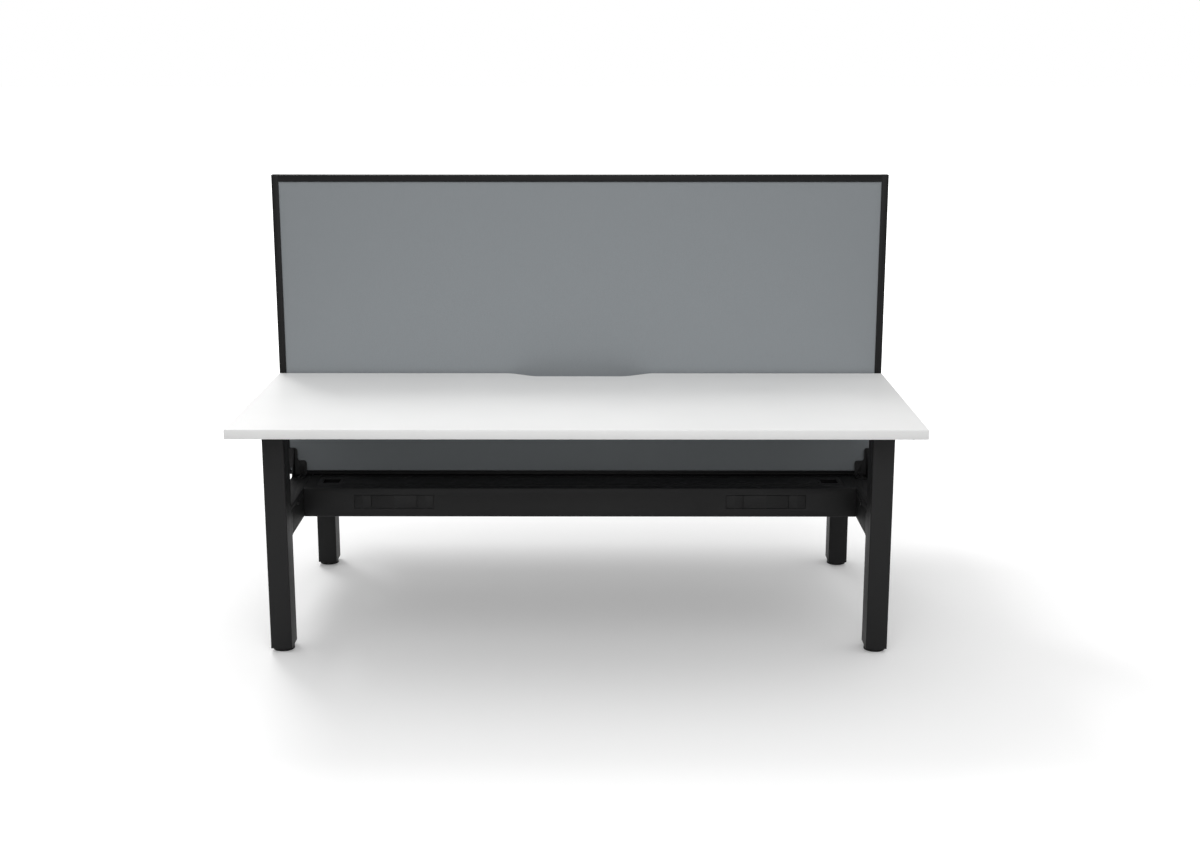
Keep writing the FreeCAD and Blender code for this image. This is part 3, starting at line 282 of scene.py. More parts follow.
class Graph:
    """Adds and joins the nodes of one shader tree."""

    def __init__(self, tree):
        self.tree = tree

    def add(self, kind, **settings):
        made = self.tree.nodes.new(kind)
        for name, value in settings.items():
            setattr(made, name, value)
        return made

    def feed(self, node, socket, value):
        """Links a socket, or sets it where the value is plain."""
        if value is None:
            return
        if isinstance(value, bpy.types.NodeSocket):
            self.tree.links.new(value, node.inputs[socket])
        else:
            node.inputs[socket].default_value = value

    def math(self, operation, first, second=None, clamp=False):
        made = self.add("ShaderNodeMath", operation=operation, use_clamp=clamp)
        self.feed(made, 0, first)
        self.feed(made, 1, second)
        return made.outputs[0]

    def plus(self, first, second, clamp=False):
        return self.math("ADD", first, second, clamp)

    def minus(self, first, second):
        return self.math("SUBTRACT", first, second)

    def times(self, first, second, clamp=False):
        return self.math("MULTIPLY", first, second, clamp)

    def mix(self, share, low, high):
        made = self.add("ShaderNodeMix", data_type="RGBA")
        self.feed(made, 0, share)
        self.feed(made, 6, low)
        self.feed(made, 7, high)
        return made.outputs[2]

    def span(self, value, low, high, start=0.0, end=1.0):
        """Maps a value from low and high to start and end."""
        made = self.add("ShaderNodeMapRange", clamp=True)
        for number, given in enumerate((value, low, high, start, end)):
            self.feed(made, number, given)
        return made.outputs[0]

    def noise(self, place, scale, detail=2.0, rough=0.5):
        made = self.add("ShaderNodeTexNoise")
        self.feed(made, "Vector", place)
        self.feed(made, "Scale", scale)
        self.feed(made, "Detail", detail)
        self.feed(made, "Roughness", rough)
        return made.outputs["Fac"]

    def bump(self, height, strength, distance):
        made = self.add("ShaderNodeBump")
        self.feed(made, "Height", height)
        self.feed(made, "Strength", strength)
        self.feed(made, "Distance", distance)
        return made.outputs["Normal"]

    def place(self):
        return self.add("ShaderNodeTexCoord").outputs["Object"]

    def stretched(self, place, scale):
        made = self.add("ShaderNodeMapping")
        self.feed(made, "Vector", place)
        self.feed(made, "Scale", scale)
        return made.outputs["Vector"]

    def split(self, place):
        made = self.add("ShaderNodeSeparateXYZ")
        self.feed(made, 0, place)
        return made.outputs

    def use(self, effect, **values):
        """Places the shader node group that a function builds, and returns its outputs."""
        name = effect.__name__
        made = self.add("ShaderNodeGroup", node_tree=bpy.data.node_groups.get(name) or effect(name))
        for socket, value in values.items():
            self.feed(made, socket, value)
        return made.outputs

    def worn(self, place, amount):
        edge = self.add("ShaderNodeAttribute", attribute_type="GEOMETRY", attribute_name="edge")
        return self.use(edge_wear, Place=place, Edge=edge.outputs["Fac"], Amount=amount)["Mask"]

    def finish(self, shader, tone, rough, normal):
        self.feed(shader, "Base Color", tone)
        self.feed(shader, "Roughness", rough)
        self.feed(shader, "Normal", normal)


def new_group(name, inputs, *outputs):
    """An empty shader node group. Each input has its default, and the outputs are plain numbers."""
    group = bpy.data.node_groups.new(name, "ShaderNodeTree")
    for title, default in inputs.items():
        kind = "NodeSocketFloat" if isinstance(default, float) else "NodeSocketVector"
        group.interface.new_socket(title, in_out="INPUT", socket_type=kind).default_value = default
    for title in outputs:
        group.interface.new_socket(title, in_out="OUTPUT", socket_type="NodeSocketFloat")
    graph = Graph(group)
    given = graph.add("NodeGroupInput").outputs
    result = graph.add("NodeGroupOutput")
    return group, graph, given, result


def surface_grain(name):
    """Fine texture of a sprayed or pressed surface, and the slow unevenness of its gloss."""
    inputs = {"Place": ORIGIN, "Scale": 900.0, "Drift": 6.0}
    group, graph, given, result = new_group(name, inputs, "Height", "Unevenness")
    fine = graph.noise(given["Place"], given["Scale"], 3.0, 0.6)
    soft = graph.noise(given["Place"], graph.times(given["Scale"], 0.31), 2.0)
    graph.feed(result, "Height", graph.plus(fine, graph.times(soft, 0.8)))
    slow = graph.noise(given["Place"], given["Drift"], 4.0, 0.62)
    graph.feed(result, "Unevenness", graph.span(slow, 0.3, 0.7))
    return group


def edge_wear(name):
    """Where an edge is rubbed: the edge's own mask, broken up along its length."""
    inputs = {"Place": ORIGIN, "Edge": 0.0, "Amount": 0.5}
    group, graph, given, result = new_group(name, inputs, "Mask")
    patches = graph.noise(given["Place"], 35.0, 5.0, 0.7)
    start = graph.minus(0.9, graph.times(given["Amount"], 0.6))
    broken = graph.span(patches, start, graph.plus(start, 0.12))
    graph.feed(result, "Mask", graph.times(given["Edge"], broken, clamp=True))
    return group


def settled_dust(name):
    """A trace of dust, which lies on surfaces that face up."""
    group, graph, given, result = new_group(name, {"Place": ORIGIN, "Amount": 0.2}, "Mask")
    normal = graph.split(graph.add("ShaderNodeNewGeometry").outputs["Normal"])
    upward = graph.span(normal["Z"], 0.7, 1.0)
    specks = graph.span(graph.noise(given["Place"], 420.0, 2.0), 0.52, 0.72)
    film = graph.span(graph.noise(given["Place"], 3.5, 4.0, 0.6), 0.35, 0.75)
    both = graph.times(specks, film)
    level = graph.plus(graph.times(both, 0.7), graph.times(film, 0.3))
    amount = graph.times(upward, given["Amount"])
    graph.feed(result, "Mask", graph.times(level, amount, clamp=True))
    return group


def drawn_lines(name):
    """Fine lines along one axis, as a drawn or turned metal has."""
    inputs = {"Place": ORIGIN, "Stretch": (1.0, 1.0, 1.0)}
    group, graph, given, result = new_group(name, inputs, "Height")
    lines = graph.stretched(given["Place"], given["Stretch"])
    graph.feed(result, "Height", graph.noise(lines, 1.0, 3.0, 0.6))
    return group


def grey(level):
    return (level, level, level, 1.0)


def scaled(colour, factor):
    """The same colour, lighter or darker."""
    return (*(min(1.0, part * factor) for part in colour), 1.0)


def new_material(name, gloss=0.5):
    """A material with its graph, shader and place. gloss is the strength of its reflection."""
    material = bpy.data.materials.new(name)
    material.use_nodes = True
    graph = Graph(material.node_tree)
    shader = material.node_tree.nodes["Principled BSDF"]
    shader.inputs["Specular IOR Level"].default_value = gloss
    return material, graph, shader, graph.place()


def laminate_material(colour):
    """White melamine board: a fine pressed pearl texture, even colour, faint smears."""
    material, graph, shader, place = new_material(LAMINATE, 0.4)
    surface = graph.use(surface_grain, Place=place, Scale=1500.0, Drift=2.4)
    worn = graph.worn(place, 0.35)
    settled = graph.use(settled_dust, Place=place, Amount=0.05)["Mask"]
    tone = graph.mix(surface["Unevenness"], scaled(colour, 0.985), scaled(colour, 1.01))
    tone = graph.mix(graph.times(worn, 0.5), tone, scaled(colour, 0.86))
    tone = graph.mix(settled, tone, scaled(colour, 0.72))
    smear = graph.span(graph.noise(place, 7.0, 5.0, 0.65), 0.5, 0.75)
    rough = graph.plus(0.42, graph.times(surface["Unevenness"], 0.05))
    rough = graph.minus(rough, graph.times(smear, 0.05))
    graph.finish(shader, tone, rough, graph.bump(surface["Height"], 0.18, 0.00008))
    return material


def strip_material(colour):
    """The edge strip: the worktop's white in plastic, with faint mill marks across it."""
    material, graph, shader, place = new_material(STRIP, 0.4)
    surface = graph.use(surface_grain, Place=place, Scale=2100.0, Drift=9.0)
    marks = graph.use(drawn_lines, Place=place, Stretch=(700.0, 700.0, 6.0))["Height"]
    worn = graph.worn(place, 0.5)
    tone = graph.mix(surface["Unevenness"], scaled(colour, 0.98), scaled(colour, 1.01))
    tone = graph.mix(graph.times(worn, 0.4), tone, scaled(colour, 0.8))
    height = graph.plus(marks, graph.times(surface["Height"], 0.4))
    rough = graph.span(surface["Unevenness"], 0.0, 1.0, 0.40, 0.47)
    graph.finish(shader, tone, rough, graph.bump(height, 0.15, 0.0001))
    return material


def coat_look(graph, place, colour, dust_amount):
    """Black powder coat with orange peel and rubbed edges: its colour, roughness and height."""
    surface = graph.use(surface_grain, Place=place, Scale=1250.0, Drift=5.0)
    peel = graph.noise(place, 330.0, 1.0)
    worn = graph.worn(place, 0.55)
    settled = graph.use(settled_dust, Place=place, Amount=dust_amount)["Mask"]
    tone = graph.mix(surface["Unevenness"], scaled(colour, 0.90), scaled(colour, 1.12))
    tone = graph.mix(graph.times(worn, 0.6), tone, scaled(colour, 5.0))
    tone = graph.mix(settled, tone, DUST)
    rough = graph.span(surface["Unevenness"], 0.0, 1.0, 0.52, 0.60)
    rough = graph.minus(rough, graph.times(worn, 0.10))
    rough = graph.plus(rough, graph.times(settled, 0.3), clamp=True)
    return tone, rough, graph.plus(graph.times(surface["Height"], 0.5), peel)


def coat_material(colour):
    material, graph, shader, place = new_material(COAT, 0.24)
    tone, rough, height = coat_look(graph, place, colour, 0.10)
    graph.finish(shader, tone, rough, graph.bump(height, 0.45, 0.00015))
    return material


def hole_mask(graph, place, sizes, near, far):
    """Rows of round holes, each row moved by half a pitch, inside the border of a lid."""
    axes = graph.split(place)
    across = graph.math("ABSOLUTE", axes["Y"])
    pitch = sizes.hole_pitch
    row = graph.math("DIVIDE", across, pitch)
    odd = graph.math("FLOORED_MODULO", graph.math("FLOOR", row), 2.0)
    along = graph.plus(graph.math("DIVIDE", axes["X"], pitch), graph.times(odd, 0.5))
    off_x = graph.minus(graph.math("FRACT", along), 0.5)
    off_y = graph.minus(graph.math("FRACT", row), 0.5)
    square = graph.plus(graph.math("POWER", off_x, 2.0), graph.math("POWER", off_y, 2.0))
    distance = graph.times(graph.math("SQRT", square), pitch)
    radius = sizes.hole_radius
    hole = graph.span(distance, radius * 0.85, radius * 1.1, 1.0, 0.0)
    inside = graph.math("LESS_THAN", graph.math("ABSOLUTE", axes["X"]), sizes.perforated_half)
    inside = graph.times(inside, graph.math("GREATER_THAN", across, near))
    inside = graph.times(inside, graph.math("LESS_THAN", across, far))
    return graph.times(hole, inside)


def perforated_material(colour, sizes, near, far):
    """Powder-coated sheet with a field of small punched holes, each painted near-black as painted
    shade of the tray inside.
    """
    material, graph, shader, place = new_material(PERFORATED, 0.24)
    tone, rough, height = coat_look(graph, place, colour, 0.16)
    holes = hole_mask(graph, place, sizes, near, far)
    # painted shade: each hole is coloured near-black, as the dark tray inside seen through it
    tone = graph.mix(holes, tone, HOLE_SHADE)
    height = graph.minus(height, graph.times(holes, 6.0))
    graph.finish(shader, tone, rough, graph.bump(height, 0.5, 0.00012))
    return material


def extrusion_material(name, colour, stretch):
    """Black coated aluminium extrusion: fine draw lines along its length under a smooth coat."""
    material, graph, shader, place = new_material(name, 0.11)
    surface = graph.use(surface_grain, Place=place, Scale=1800.0, Drift=3.0)
    drawn = graph.use(drawn_lines, Place=place, Stretch=stretch)["Height"]
    worn = graph.worn(place, 0.5)
    tone = graph.mix(surface["Unevenness"], scaled(colour, 0.85), scaled(colour, 1.2))
    tone = graph.mix(graph.times(worn, 0.6), tone, scaled(colour, 5.0))
    rough = graph.span(graph.plus(drawn, surface["Unevenness"]), 0.3, 1.7, 0.36, 0.47)
    height = graph.plus(drawn, graph.times(surface["Height"], 0.3))
    graph.finish(shader, tone, rough, graph.bump(height, 0.2, 0.0001))
    return material


def thread_wave(graph, along, across, pitch):
    """Rounded threads that run along one way and pass over and under the other ones."""
    turns = graph.times(across, math.pi / pitch)
    body = graph.math("ABSOLUTE", graph.math("COSINE", turns))
    row = graph.math("FLOOR", graph.plus(graph.math("DIVIDE", across, pitch), 0.5))
    phase = graph.times(row, math.pi)
    lift = graph.plus(graph.times(along, math.pi / pitch), phase)
    over = graph.plus(graph.times(graph.math("COSINE", lift), 0.5), 0.5)
    return body, over


def fabric_material(colour, pitch):
    """Grey wool blend: a plain weave of slubby threads, two close tones of yarn, a soft nap, and
    painted shade in the gaps between threads.
    """
    material, graph, shader, place = new_material(FABRIC, 0.15)
    wander = graph.add("ShaderNodeTexNoise")
    graph.feed(wander, "Vector", place)
    graph.feed(wander, "Scale", 260.0)
    shift = graph.add("ShaderNodeVectorMath", operation="MULTIPLY_ADD")
    graph.feed(shift, 0, wander.outputs["Color"])
    graph.feed(shift, 1, (pitch * 0.35,) * 3)
    graph.feed(shift, 2, place)
    axes = graph.split(shift.outputs[0])
    up_body, up_over = thread_wave(graph, axes["Z"], axes["X"], pitch)
    side_body, side_over = thread_wave(graph, axes["X"], axes["Z"], pitch)
    side_over = graph.minus(1.0, side_over)
    up_height = graph.times(up_body, up_over)
    side_height = graph.times(side_body, side_over)
    weave = graph.math("MAXIMUM", up_height, side_height)
    which = graph.math("GREATER_THAN", up_height, side_height)
    slub = graph.use(drawn_lines, Place=place, Stretch=(900.0, 900.0, 60.0))["Height"]
    fibre = graph.noise(place, 5200.0, 2.0, 0.7)
    melange = graph.span(graph.noise(place, 640.0, 3.0, 0.7), 0.3, 0.7)
    tone = graph.mix(which, scaled(colour, 0.93), scaled(colour, 1.06))
    tone = graph.mix(graph.times(melange, 0.55), tone, scaled(colour, 1.22))
    tone = graph.mix(graph.times(slub, 0.35), tone, scaled(colour, 0.78))
    # painted shade: the low points of the weave, between the threads, are darkened
    tone = graph.mix(graph.span(weave, 0.0, 0.45, 0.40, 0.0), tone, scaled(colour, 0.45))
    slow = graph.span(graph.noise(place, 2.2, 3.0, 0.55), 0.3, 0.7)
    tone = graph.mix(graph.times(slow, 0.06), tone, scaled(colour, 0.85))
    rough = graph.span(fibre, 0.2, 0.8, 0.84, 0.96)
    height = graph.plus(weave, graph.times(fibre, 0.25))
    graph.finish(shader, tone, rough, graph.bump(height, 0.55, 0.00022))
    shader.inputs["Sheen Weight"].default_value = 0.12
    shader.inputs["Sheen Roughness"].default_value = 0.45
    return material


def board_material(colour):
    """Pressed fibre board: light and dark fibres in a brown ground."""
    material, graph, shader, place = new_material(BOARD, 0.2)
    chips = graph.noise(graph.stretched(place, (240.0, 60.0, 240.0)), 1.0, 4.0, 0.7)
    fibres = graph.noise(graph.stretched(place, (1400.0, 300.0, 900.0)), 1.0, 2.0)
    tone = graph.mix(graph.span(chips, 0.3, 0.7), scaled(colour, 0.75), scaled(colour, 1.2))
    tone = graph.mix(graph.times(fibres, 0.3), tone, scaled(colour, 0.6))
    rough = graph.span(chips, 0.2, 0.8, 0.75, 0.9)
    graph.finish(shader, tone, rough, graph.bump(fibres, 0.4, 0.0002))
    return material


def rubber_material(colour):
    """Matt black rubber with a fine moulded texture and a grey bloom."""
    material, graph, shader, place = new_material(RUBBER, 0.25)
    surface = graph.use(surface_grain, Place=place, Scale=1700.0, Drift=40.0)
    tone = graph.mix(surface["Unevenness"], scaled(colour, 1.0), scaled(colour, 2.0))
    rough = graph.span(surface["Unevenness"], 0.0, 1.0, 0.62, 0.8)
    graph.finish(shader, tone, rough, graph.bump(surface["Height"], 0.4, 0.00015))
    return material


def zinc_material(colour):
    """Zinc plating: a bluish steel with soft blotches and fine rolling lines."""
    material, graph, shader, place = new_material(ZINC)
    surface = graph.use(surface_grain, Place=place, Scale=900.0, Drift=60.0)
    rolled = graph.use(drawn_lines, Place=place, Stretch=(40.0, 1600.0, 1600.0))["Height"]
    tone = graph.mix(surface["Unevenness"], scaled(colour, 0.86), scaled(colour, 1.1))
    rough = graph.span(rolled, 0.2, 0.8, 0.28, 0.42)
    graph.finish(shader, tone, rough, graph.bump(rolled, 0.15, 0.00008))
    shader.inputs["Metallic"].default_value = 1.0
    return material


def oxide_material(colour):
    """Blackened steel of screws and stems: dark, with a dry sheen and rubbed edges."""
    material, graph, shader, place = new_material(OXIDE, 0.3)
    surface = graph.use(surface_grain, Place=place, Scale=2600.0, Drift=150.0)
    worn = graph.worn(place, 0.8)
    tone = graph.mix(surface["Unevenness"], scaled(colour, 0.8), scaled(colour, 1.6))
    tone = graph.mix(graph.times(worn, 0.7), tone, scaled(colour, 6.0))
    rough = graph.span(surface["Unevenness"], 0.0, 1.0, 0.42, 0.55)
    graph.finish(shader, tone, rough, graph.bump(surface["Height"], 0.2, 0.00006))
    return material


def finish_for(context, kind):
    """One of the workstation's finishes, made the first time that it is asked for."""
    colours = context.scene.workstation_colours
    sizes = context.scene.workstation_sizes
    lid_low, lid_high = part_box("rear_tray_lid")
    near = lid_low.y + sizes.perforation_margin
    far = lid_high.y - sizes.perforation_margin
    makers = {
        LAMINATE: lambda: laminate_material(colours.laminate),
        STRIP: lambda: strip_material(colours.edge_strip),
        COAT: lambda: coat_material(colours.coat),
        PERFORATED: lambda: perforated_material(colours.lid, sizes, near, far),
        POSTS: lambda: extrusion_material(POSTS, colours.screen_frame, DRAWN_UP),
        RAILS: lambda: extrusion_material(RAILS, colours.screen_frame, DRAWN_ALONG),
        FABRIC: lambda: fabric_material(colours.fabric, sizes.thread_pitch),
        BOARD: lambda: board_material(colours.core),
        RUBBER: lambda: rubber_material(colours.rubber),
        ZINC: lambda: zinc_material(colours.zinc),
        OXIDE: lambda: oxide_material(colours.oxide),
    }
    return bpy.data.materials.get(kind) or makers[kind]()


def dress_nodes(context, kind, *nodes):
    """Gives carried-over parts of the frame their finish."""
    for node in nodes:
        mesh = frame["nodes"][node].data
        mesh.materials.clear()
        mesh.materials.append(finish_for(context, kind))


def make_piece(context, mesh, kind, node):
    """Turns a bmesh into a finished piece that stands for a node, and rides with it."""
    name = node + "_finished"
    data = bpy.data.meshes.new(name)
    mesh.to_mesh(data)
    mesh.free()
    data.materials.append(finish_for(context, kind))
    data.set_sharp_from_angle(angle=SMOOTH)
    piece = bpy.data.objects.new(name, data)
    context.scene.collection.objects.link(piece)
    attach(piece, body_of(frame["nodes"][node])[0])
    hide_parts(node)
    return piece


def shade_smooth(mesh):
    for face in mesh.faces:
        face.smooth = True


def is_facet(face):
    """Tells a narrow facet of a rounded corner or hole, bent along two sides, from a flat."""
    longest = max(edge.calc_length() for edge in face.edges)
    if face.calc_area() > longest * WIDEST_FACET:
        return False
    bends = [edge for edge in face.edges if FLAT < edge.calc_face_angle(0.0) < SHARP]
    return len(bends) >= 2


def mark_edges(mesh, rounded):
    """Marks the middle of each softened edge, so that the finishes can rub it."""
    layer = mesh.verts.layers.float.new("edge")
    for vertex in mesh.verts:
        inner = vertex.link_faces and all(face in rounded for face in vertex.link_faces)
        vertex[layer] = 1.0 if inner else 0.0


def sharp_edges(mesh):
    return [edge for edge in mesh.edges if edge.calc_face_angle(0.0) > SHARP]


def round_off(mesh, edges, radius, segments, clamp=False):
    """Rounds these edges, and returns the faces that this makes."""
    made = bmesh.ops.bevel(
        mesh,
        geom=edges,
        offset=radius,
        offset_type="OFFSET",
        segments=segments,
        profile=0.5,
        affect="EDGES",
        clamp_overlap=clamp,
        material=-1,
    )
    return set(made["faces"])


def soften(mesh, radius, segments):
    """Joins a node's loose triangles into plain faces and rounds its edges."""
    bmesh.ops.remove_doubles(mesh, verts=mesh.verts, dist=MERGE)
    bmesh.ops.dissolve_limit(mesh, angle_limit=FLAT, verts=mesh.verts, edges=mesh.edges)
    rounded = round_off(mesh, sharp_edges(mesh), radius, segments, clamp=True)
    mark_edges(mesh, rounded)
    for face in mesh.faces:
        # flats keep their own normal, or the whole flat would be shaded as if it were bent
        face.smooth = face in rounded or is_facet(face)


def soften_nodes(context, kind, radius, *nodes, segments=2):
    """Finished copies of nodes, with their edges rounded."""
    for node in nodes:
        mesh = bmesh.new()
        mesh.from_mesh(frame["nodes"][node].data)
        soften(mesh, radius, segments)
        make_piece(context, mesh, kind, node)


def soften_metal(context, kind, *nodes, share=1.0):
    """Finished copies of metal nodes, rounded by a share of the metal's softening."""
    radius = context.scene.workstation_sizes.metal_softening * share
    soften_nodes(context, kind, radius, *nodes)


def circle(radius, height, steps):
    """Points round the Z axis."""
    turns = [math.tau * step / steps for step in range(steps)]
    return [Vector((radius * math.cos(turn), radius * math.sin(turn), height)) for turn in turns]


def lofted(mesh, rings):
    """Joins rings of points by a skin that faces outwards. Returns the vertices of each ring."""
    loops = [[mesh.verts.new(point) for point in ring] for ring in rings]
    for lower, upper in zip(loops, loops[1:]):
        for number, vertex in enumerate(lower):
            mesh.faces.new((lower[number - 1], vertex, upper[number], upper[number - 1]))
    return loops


def closed_loft(mesh, rings):
    loops = lofted(mesh, rings)
    mesh.faces.new(loops[0][::-1])
    mesh.faces.new(loops[-1])


def revolved(profile, low, high, steps):
    """A round shape in a box, from points of radius and height that begin and end on its axis."""
    mesh = bmesh.new()
    lofted(mesh, [circle(radius, height, steps) for radius, height in profile])
    bmesh.ops.remove_doubles(mesh, verts=mesh.verts, dist=MERGE)
    middle = (low + high) / 2
    bmesh.ops.translate(mesh, verts=mesh.verts, vec=(middle.x, middle.y, low.z))
    shade_smooth(mesh)
    return mesh


def hexagon(corner, height, steps):
    """A circle's points, drawn in to the outline of a hexagon that lies inside it."""
    half = math.radians(30.0)
    points = circle(1.0, height, steps)
    for number, point in enumerate(points):
        turn = math.tau * number / steps % (half * 2)
        point.xy *= corner * math.cos(half) / math.cos(turn - half)
    return points


def socket_screw(mesh, seat, direction, head_radius, head_height, shank_radius, shank_length):
    """A rounded head with a hexagon socket on its seat, and a plain shank along direction."""
    rounding = head_height * HEAD_ROUNDING
    # the rounding is as wide as it is high in the middle of a facet, and wider at its corners
    width = rounding / math.cos(math.pi / HEAD_STEPS)
    head = [circle(head_radius, 0.0, HEAD_STEPS)]
    for step in range(HEAD_ROUNDING_STEPS + 1):
        turn = math.radians(90.0) * step / HEAD_ROUNDING_STEPS
        radius = head_radius - width * (1.0 - math.cos(turn))
        head.append(circle(radius, head_height - rounding * (1.0 - math.sin(turn)), HEAD_STEPS))
    for height in (head_height, head_height * (1.0 - SOCKET_DEPTH)):
        head.append(hexagon(head_radius * SOCKET_CORNER, height, HEAD_STEPS))
    shank = [circle(shank_radius * SHANK_END, -shank_length, HEAD_STEPS)]
    shank.append(circle(shank_radius, 0.0, HEAD_STEPS))
    turn = Vector((0.0, 0.0, -1.0)).rotation_difference(direction).to_matrix().to_4x4()
    place = Matrix.Translation(seat) @ turn
    for rings in (head, shank):
        closed_loft(mesh, [[place @ point for point in ring] for ring in rings])


def joined_to(vertex):
    """All vertices that join on to this one."""
    found = {vertex}
    waiting = [vertex]
    while waiting:
        for edge in waiting.pop().link_edges:
            for other in edge.verts:
                if other not in found:
                    found.add(other)
                    waiting.append(other)
    return found


def loose_parts(node):
    """The points of each solid of a node."""
    mesh = bmesh.new()
    mesh.from_mesh(frame["nodes"][node].data)
    bmesh.ops.remove_doubles(mesh, verts=mesh.verts, dist=MERGE)
    seen = set()
    parts = []
    for vertex in mesh.verts:
        if vertex not in seen:
            part = joined_to(vertex)
            seen |= part
            parts.append([item.co.copy() for item in part])
    mesh.free()
    return parts


def screw_facts(points):
    """Seat, direction and radii of a screw, read from its solid: it runs along its longest side."""
    low = Vector(map(min, zip(*points)))
    high = Vector(map(max, zip(*points)))
    size = high - low
    axis = max(range(3), key=lambda number: size[number])
    others = [number for number in range(3) if number != axis]
    middle = (low + high) / 2
    head_radius = max(size[number] for number in others) / 2

    def spread(point):
        return math.hypot(*(point[number] - middle[number] for number in others))

    head = [point[axis] for point in points if spread(point) > head_radius * ON_HEAD]
    shank = [spread(point) for point in points if spread(point) < head_radius * ON_SHANK]
    below = min(head) - low[axis]
    above = high[axis] - max(head)
    direction = Vector(ORIGIN)
    direction[axis] = 1.0 if above > below else -1.0
    seat = middle.copy()
    seat[axis] = max(head) if above > below else min(head)
    return seat, direction, head_radius, max(head) - min(head), max(shank), max(above, below)


def detailed_screws(context, node, kind):
    """Socket screws in place of a node's plain ones."""
    mesh = bmesh.new()
    for points in loose_parts(node):
        socket_screw(mesh, *screw_facts(points))
    mesh.verts.layers.float.new("edge")
    shade_smooth(mesh)
    make_piece(context, mesh, kind, node)


class WORKSTATION_OT_worktops(bpy.types.Operator):
    """Finish the two worktops and the strips round them"""

    bl_idname = "workstation.worktops"
    bl_label = "Worktops"

    def execute(self, context):
        soft = context.scene.workstation_sizes.strip_softening
        dress_nodes(context, LAMINATE, *(side + "_worktop" for side in SIDES))
        strips = [side + "_worktop_edging" for side in SIDES]
        soften_nodes(context, STRIP, soft, *strips, segments=STRIP_STEPS)
        return {"FINISHED"}


class WORKSTATION_OT_legs(bpy.types.Operator):
    """Finish the legs, the arms on top of them and the rails between the arms"""

    bl_idname = "workstation.legs"
    bl_label = "Legs and arms"

    def execute(self, context):
        soften_metal(context, COAT, *(side + "_worktop_rails" for side in SIDES))
        for corner in CORNERS:
            soften_metal(context, COAT, corner + "_leg", corner + "_arm")
        dress_nodes(context, COAT, "leg_foot_plates")
        dress_nodes(context, RUBBER, "worktop_pads")
        return {"FINISHED"}


class WORKSTATION_OT_feet(bpy.types.Operator):
    """Build the levelling feet, with their threaded stems and rubber soles"""

    bl_idname = "workstation.feet"
    bl_label = "Levelling feet"

    def execute(self, context):
        for corner in CORNERS:
            self.foot(context, corner + "_foot", corner + "_leg")
            self.sole(context, corner + "_sole")
        return {"FINISHED"}

    def foot(self, context, node, leg):
        """A disc with a pressed upper face, and the thread that goes up into the leg."""
        sizes = context.scene.workstation_sizes
        low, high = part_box(node)
        radius = (high.x - low.x) / 2
        disc_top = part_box(leg)[0].z - low.z - sizes.foot_gap
        rim = sizes.foot_rim
        stem = sizes.stem_radius
        root = stem * THREAD_ROOT
        pitch = sizes.stem_pitch
        height = disc_top - rim
        edge = rim * CORNER_SHARE
        profile = [(0.0, 0.0), (radius - rim / 2, 0.0), (radius, rim / 2), (radius, height)]
        profile += [(radius - edge, disc_top - edge), (radius - rim, disc_top)]
        profile += [(stem * 1.9, disc_top), (stem * 1.7, height), (root, height)]
        top = high.z - low.z
        while height + pitch < top - rim:
            profile += [(stem, height + pitch * 0.35), (stem, height + pitch * 0.5)]
            height += pitch
            profile.append((root, height))
        profile += [(root, top - rim * 0.4), (stem * 0.7, top), (0.0, top)]
        mesh = revolved(profile, low, high, ROUND_STEPS)
        mesh.verts.layers.float.new("edge")
        make_piece(context, mesh, OXIDE, node)

    def sole(self, context, node):
        """A rubber disc with a rounded edge and a ring-shaped tread."""
        low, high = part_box(node)
        radius = (high.x - low.x) / 2
        top = high.z - low.z
        soft = top * 0.22
        groove = top * 0.15
        edge = soft * CORNER_SHARE
        profile = [(0.0, groove)]
        profile += [(radius * share, groove if deep else 0.0) for share, deep in TREAD]
        profile += [(radius - soft, 0.0), (radius - edge, edge), (radius, soft)]
        profile += [(radius, top - soft), (radius - edge, top - edge), (radius - soft, top)]
        profile.append((0.0, top))
        mesh = revolved(profile, low, high, ROUND_STEPS * 2)
        make_piece(context, mesh, RUBBER, node)


class WORKSTATION_OT_crossbars(bpy.types.Operator):
    """Finish the crossbars, their covers, the stubs on the legs and the beam between them"""

    bl_idname = "workstation.crossbars"
    bl_label = "Crossbars"

    def execute(self, context):
        for end in ENDS:
            soften_metal(context, COAT, end + "_crossbar", end + "_crossbar_cover")
        soften_metal(context, COAT, "leg_spigots", "centre_beam")
        return {"FINISHED"}


class WORKSTATION_OT_tray(bpy.types.Operator):
    """Finish the cable tray: fascias, troughs, end plates, perforated lids and their hinges"""

    bl_idname = "workstation.tray"
    bl_label = "Cable tray"

    def execute(self, context):
        for side in SIDES:
            sheets = [side + name for name in ("_tray_fascia", "_tray_trough", "_lid_leaves")]
            soften_metal(context, COAT, *sheets, share=THIN_SHARE)
            soften_metal(context, PERFORATED, side + "_tray_lid", share=THIN_SHARE)
        plates = ("tray_end_plates", "lid_hinge_brackets")
        soften_metal(context, COAT, *plates, share=THIN_SHARE)
        soften_metal(context, OXIDE, "lid_hinge_pins", share=THIN_SHARE)
        return {"FINISHED"}


class WORKSTATION_OT_screen_frame(bpy.types.Operator):
    """Finish the posts and rails of the screen, and the board inside it"""

    bl_idname = "workstation.screen_frame"
    bl_label = "Screen frame"

    def execute(self, context):
        soften_metal(context, POSTS, "screen_left_post", "screen_right_post")
        soften_metal(context, RAILS, "screen_top_rail", "screen_bottom_rail")
        soften_metal(context, POSTS, "screen_post_caps", share=CAP_SHARE)
        dress_nodes(context, BOARD, "screen_core")
        return {"FINISHED"}


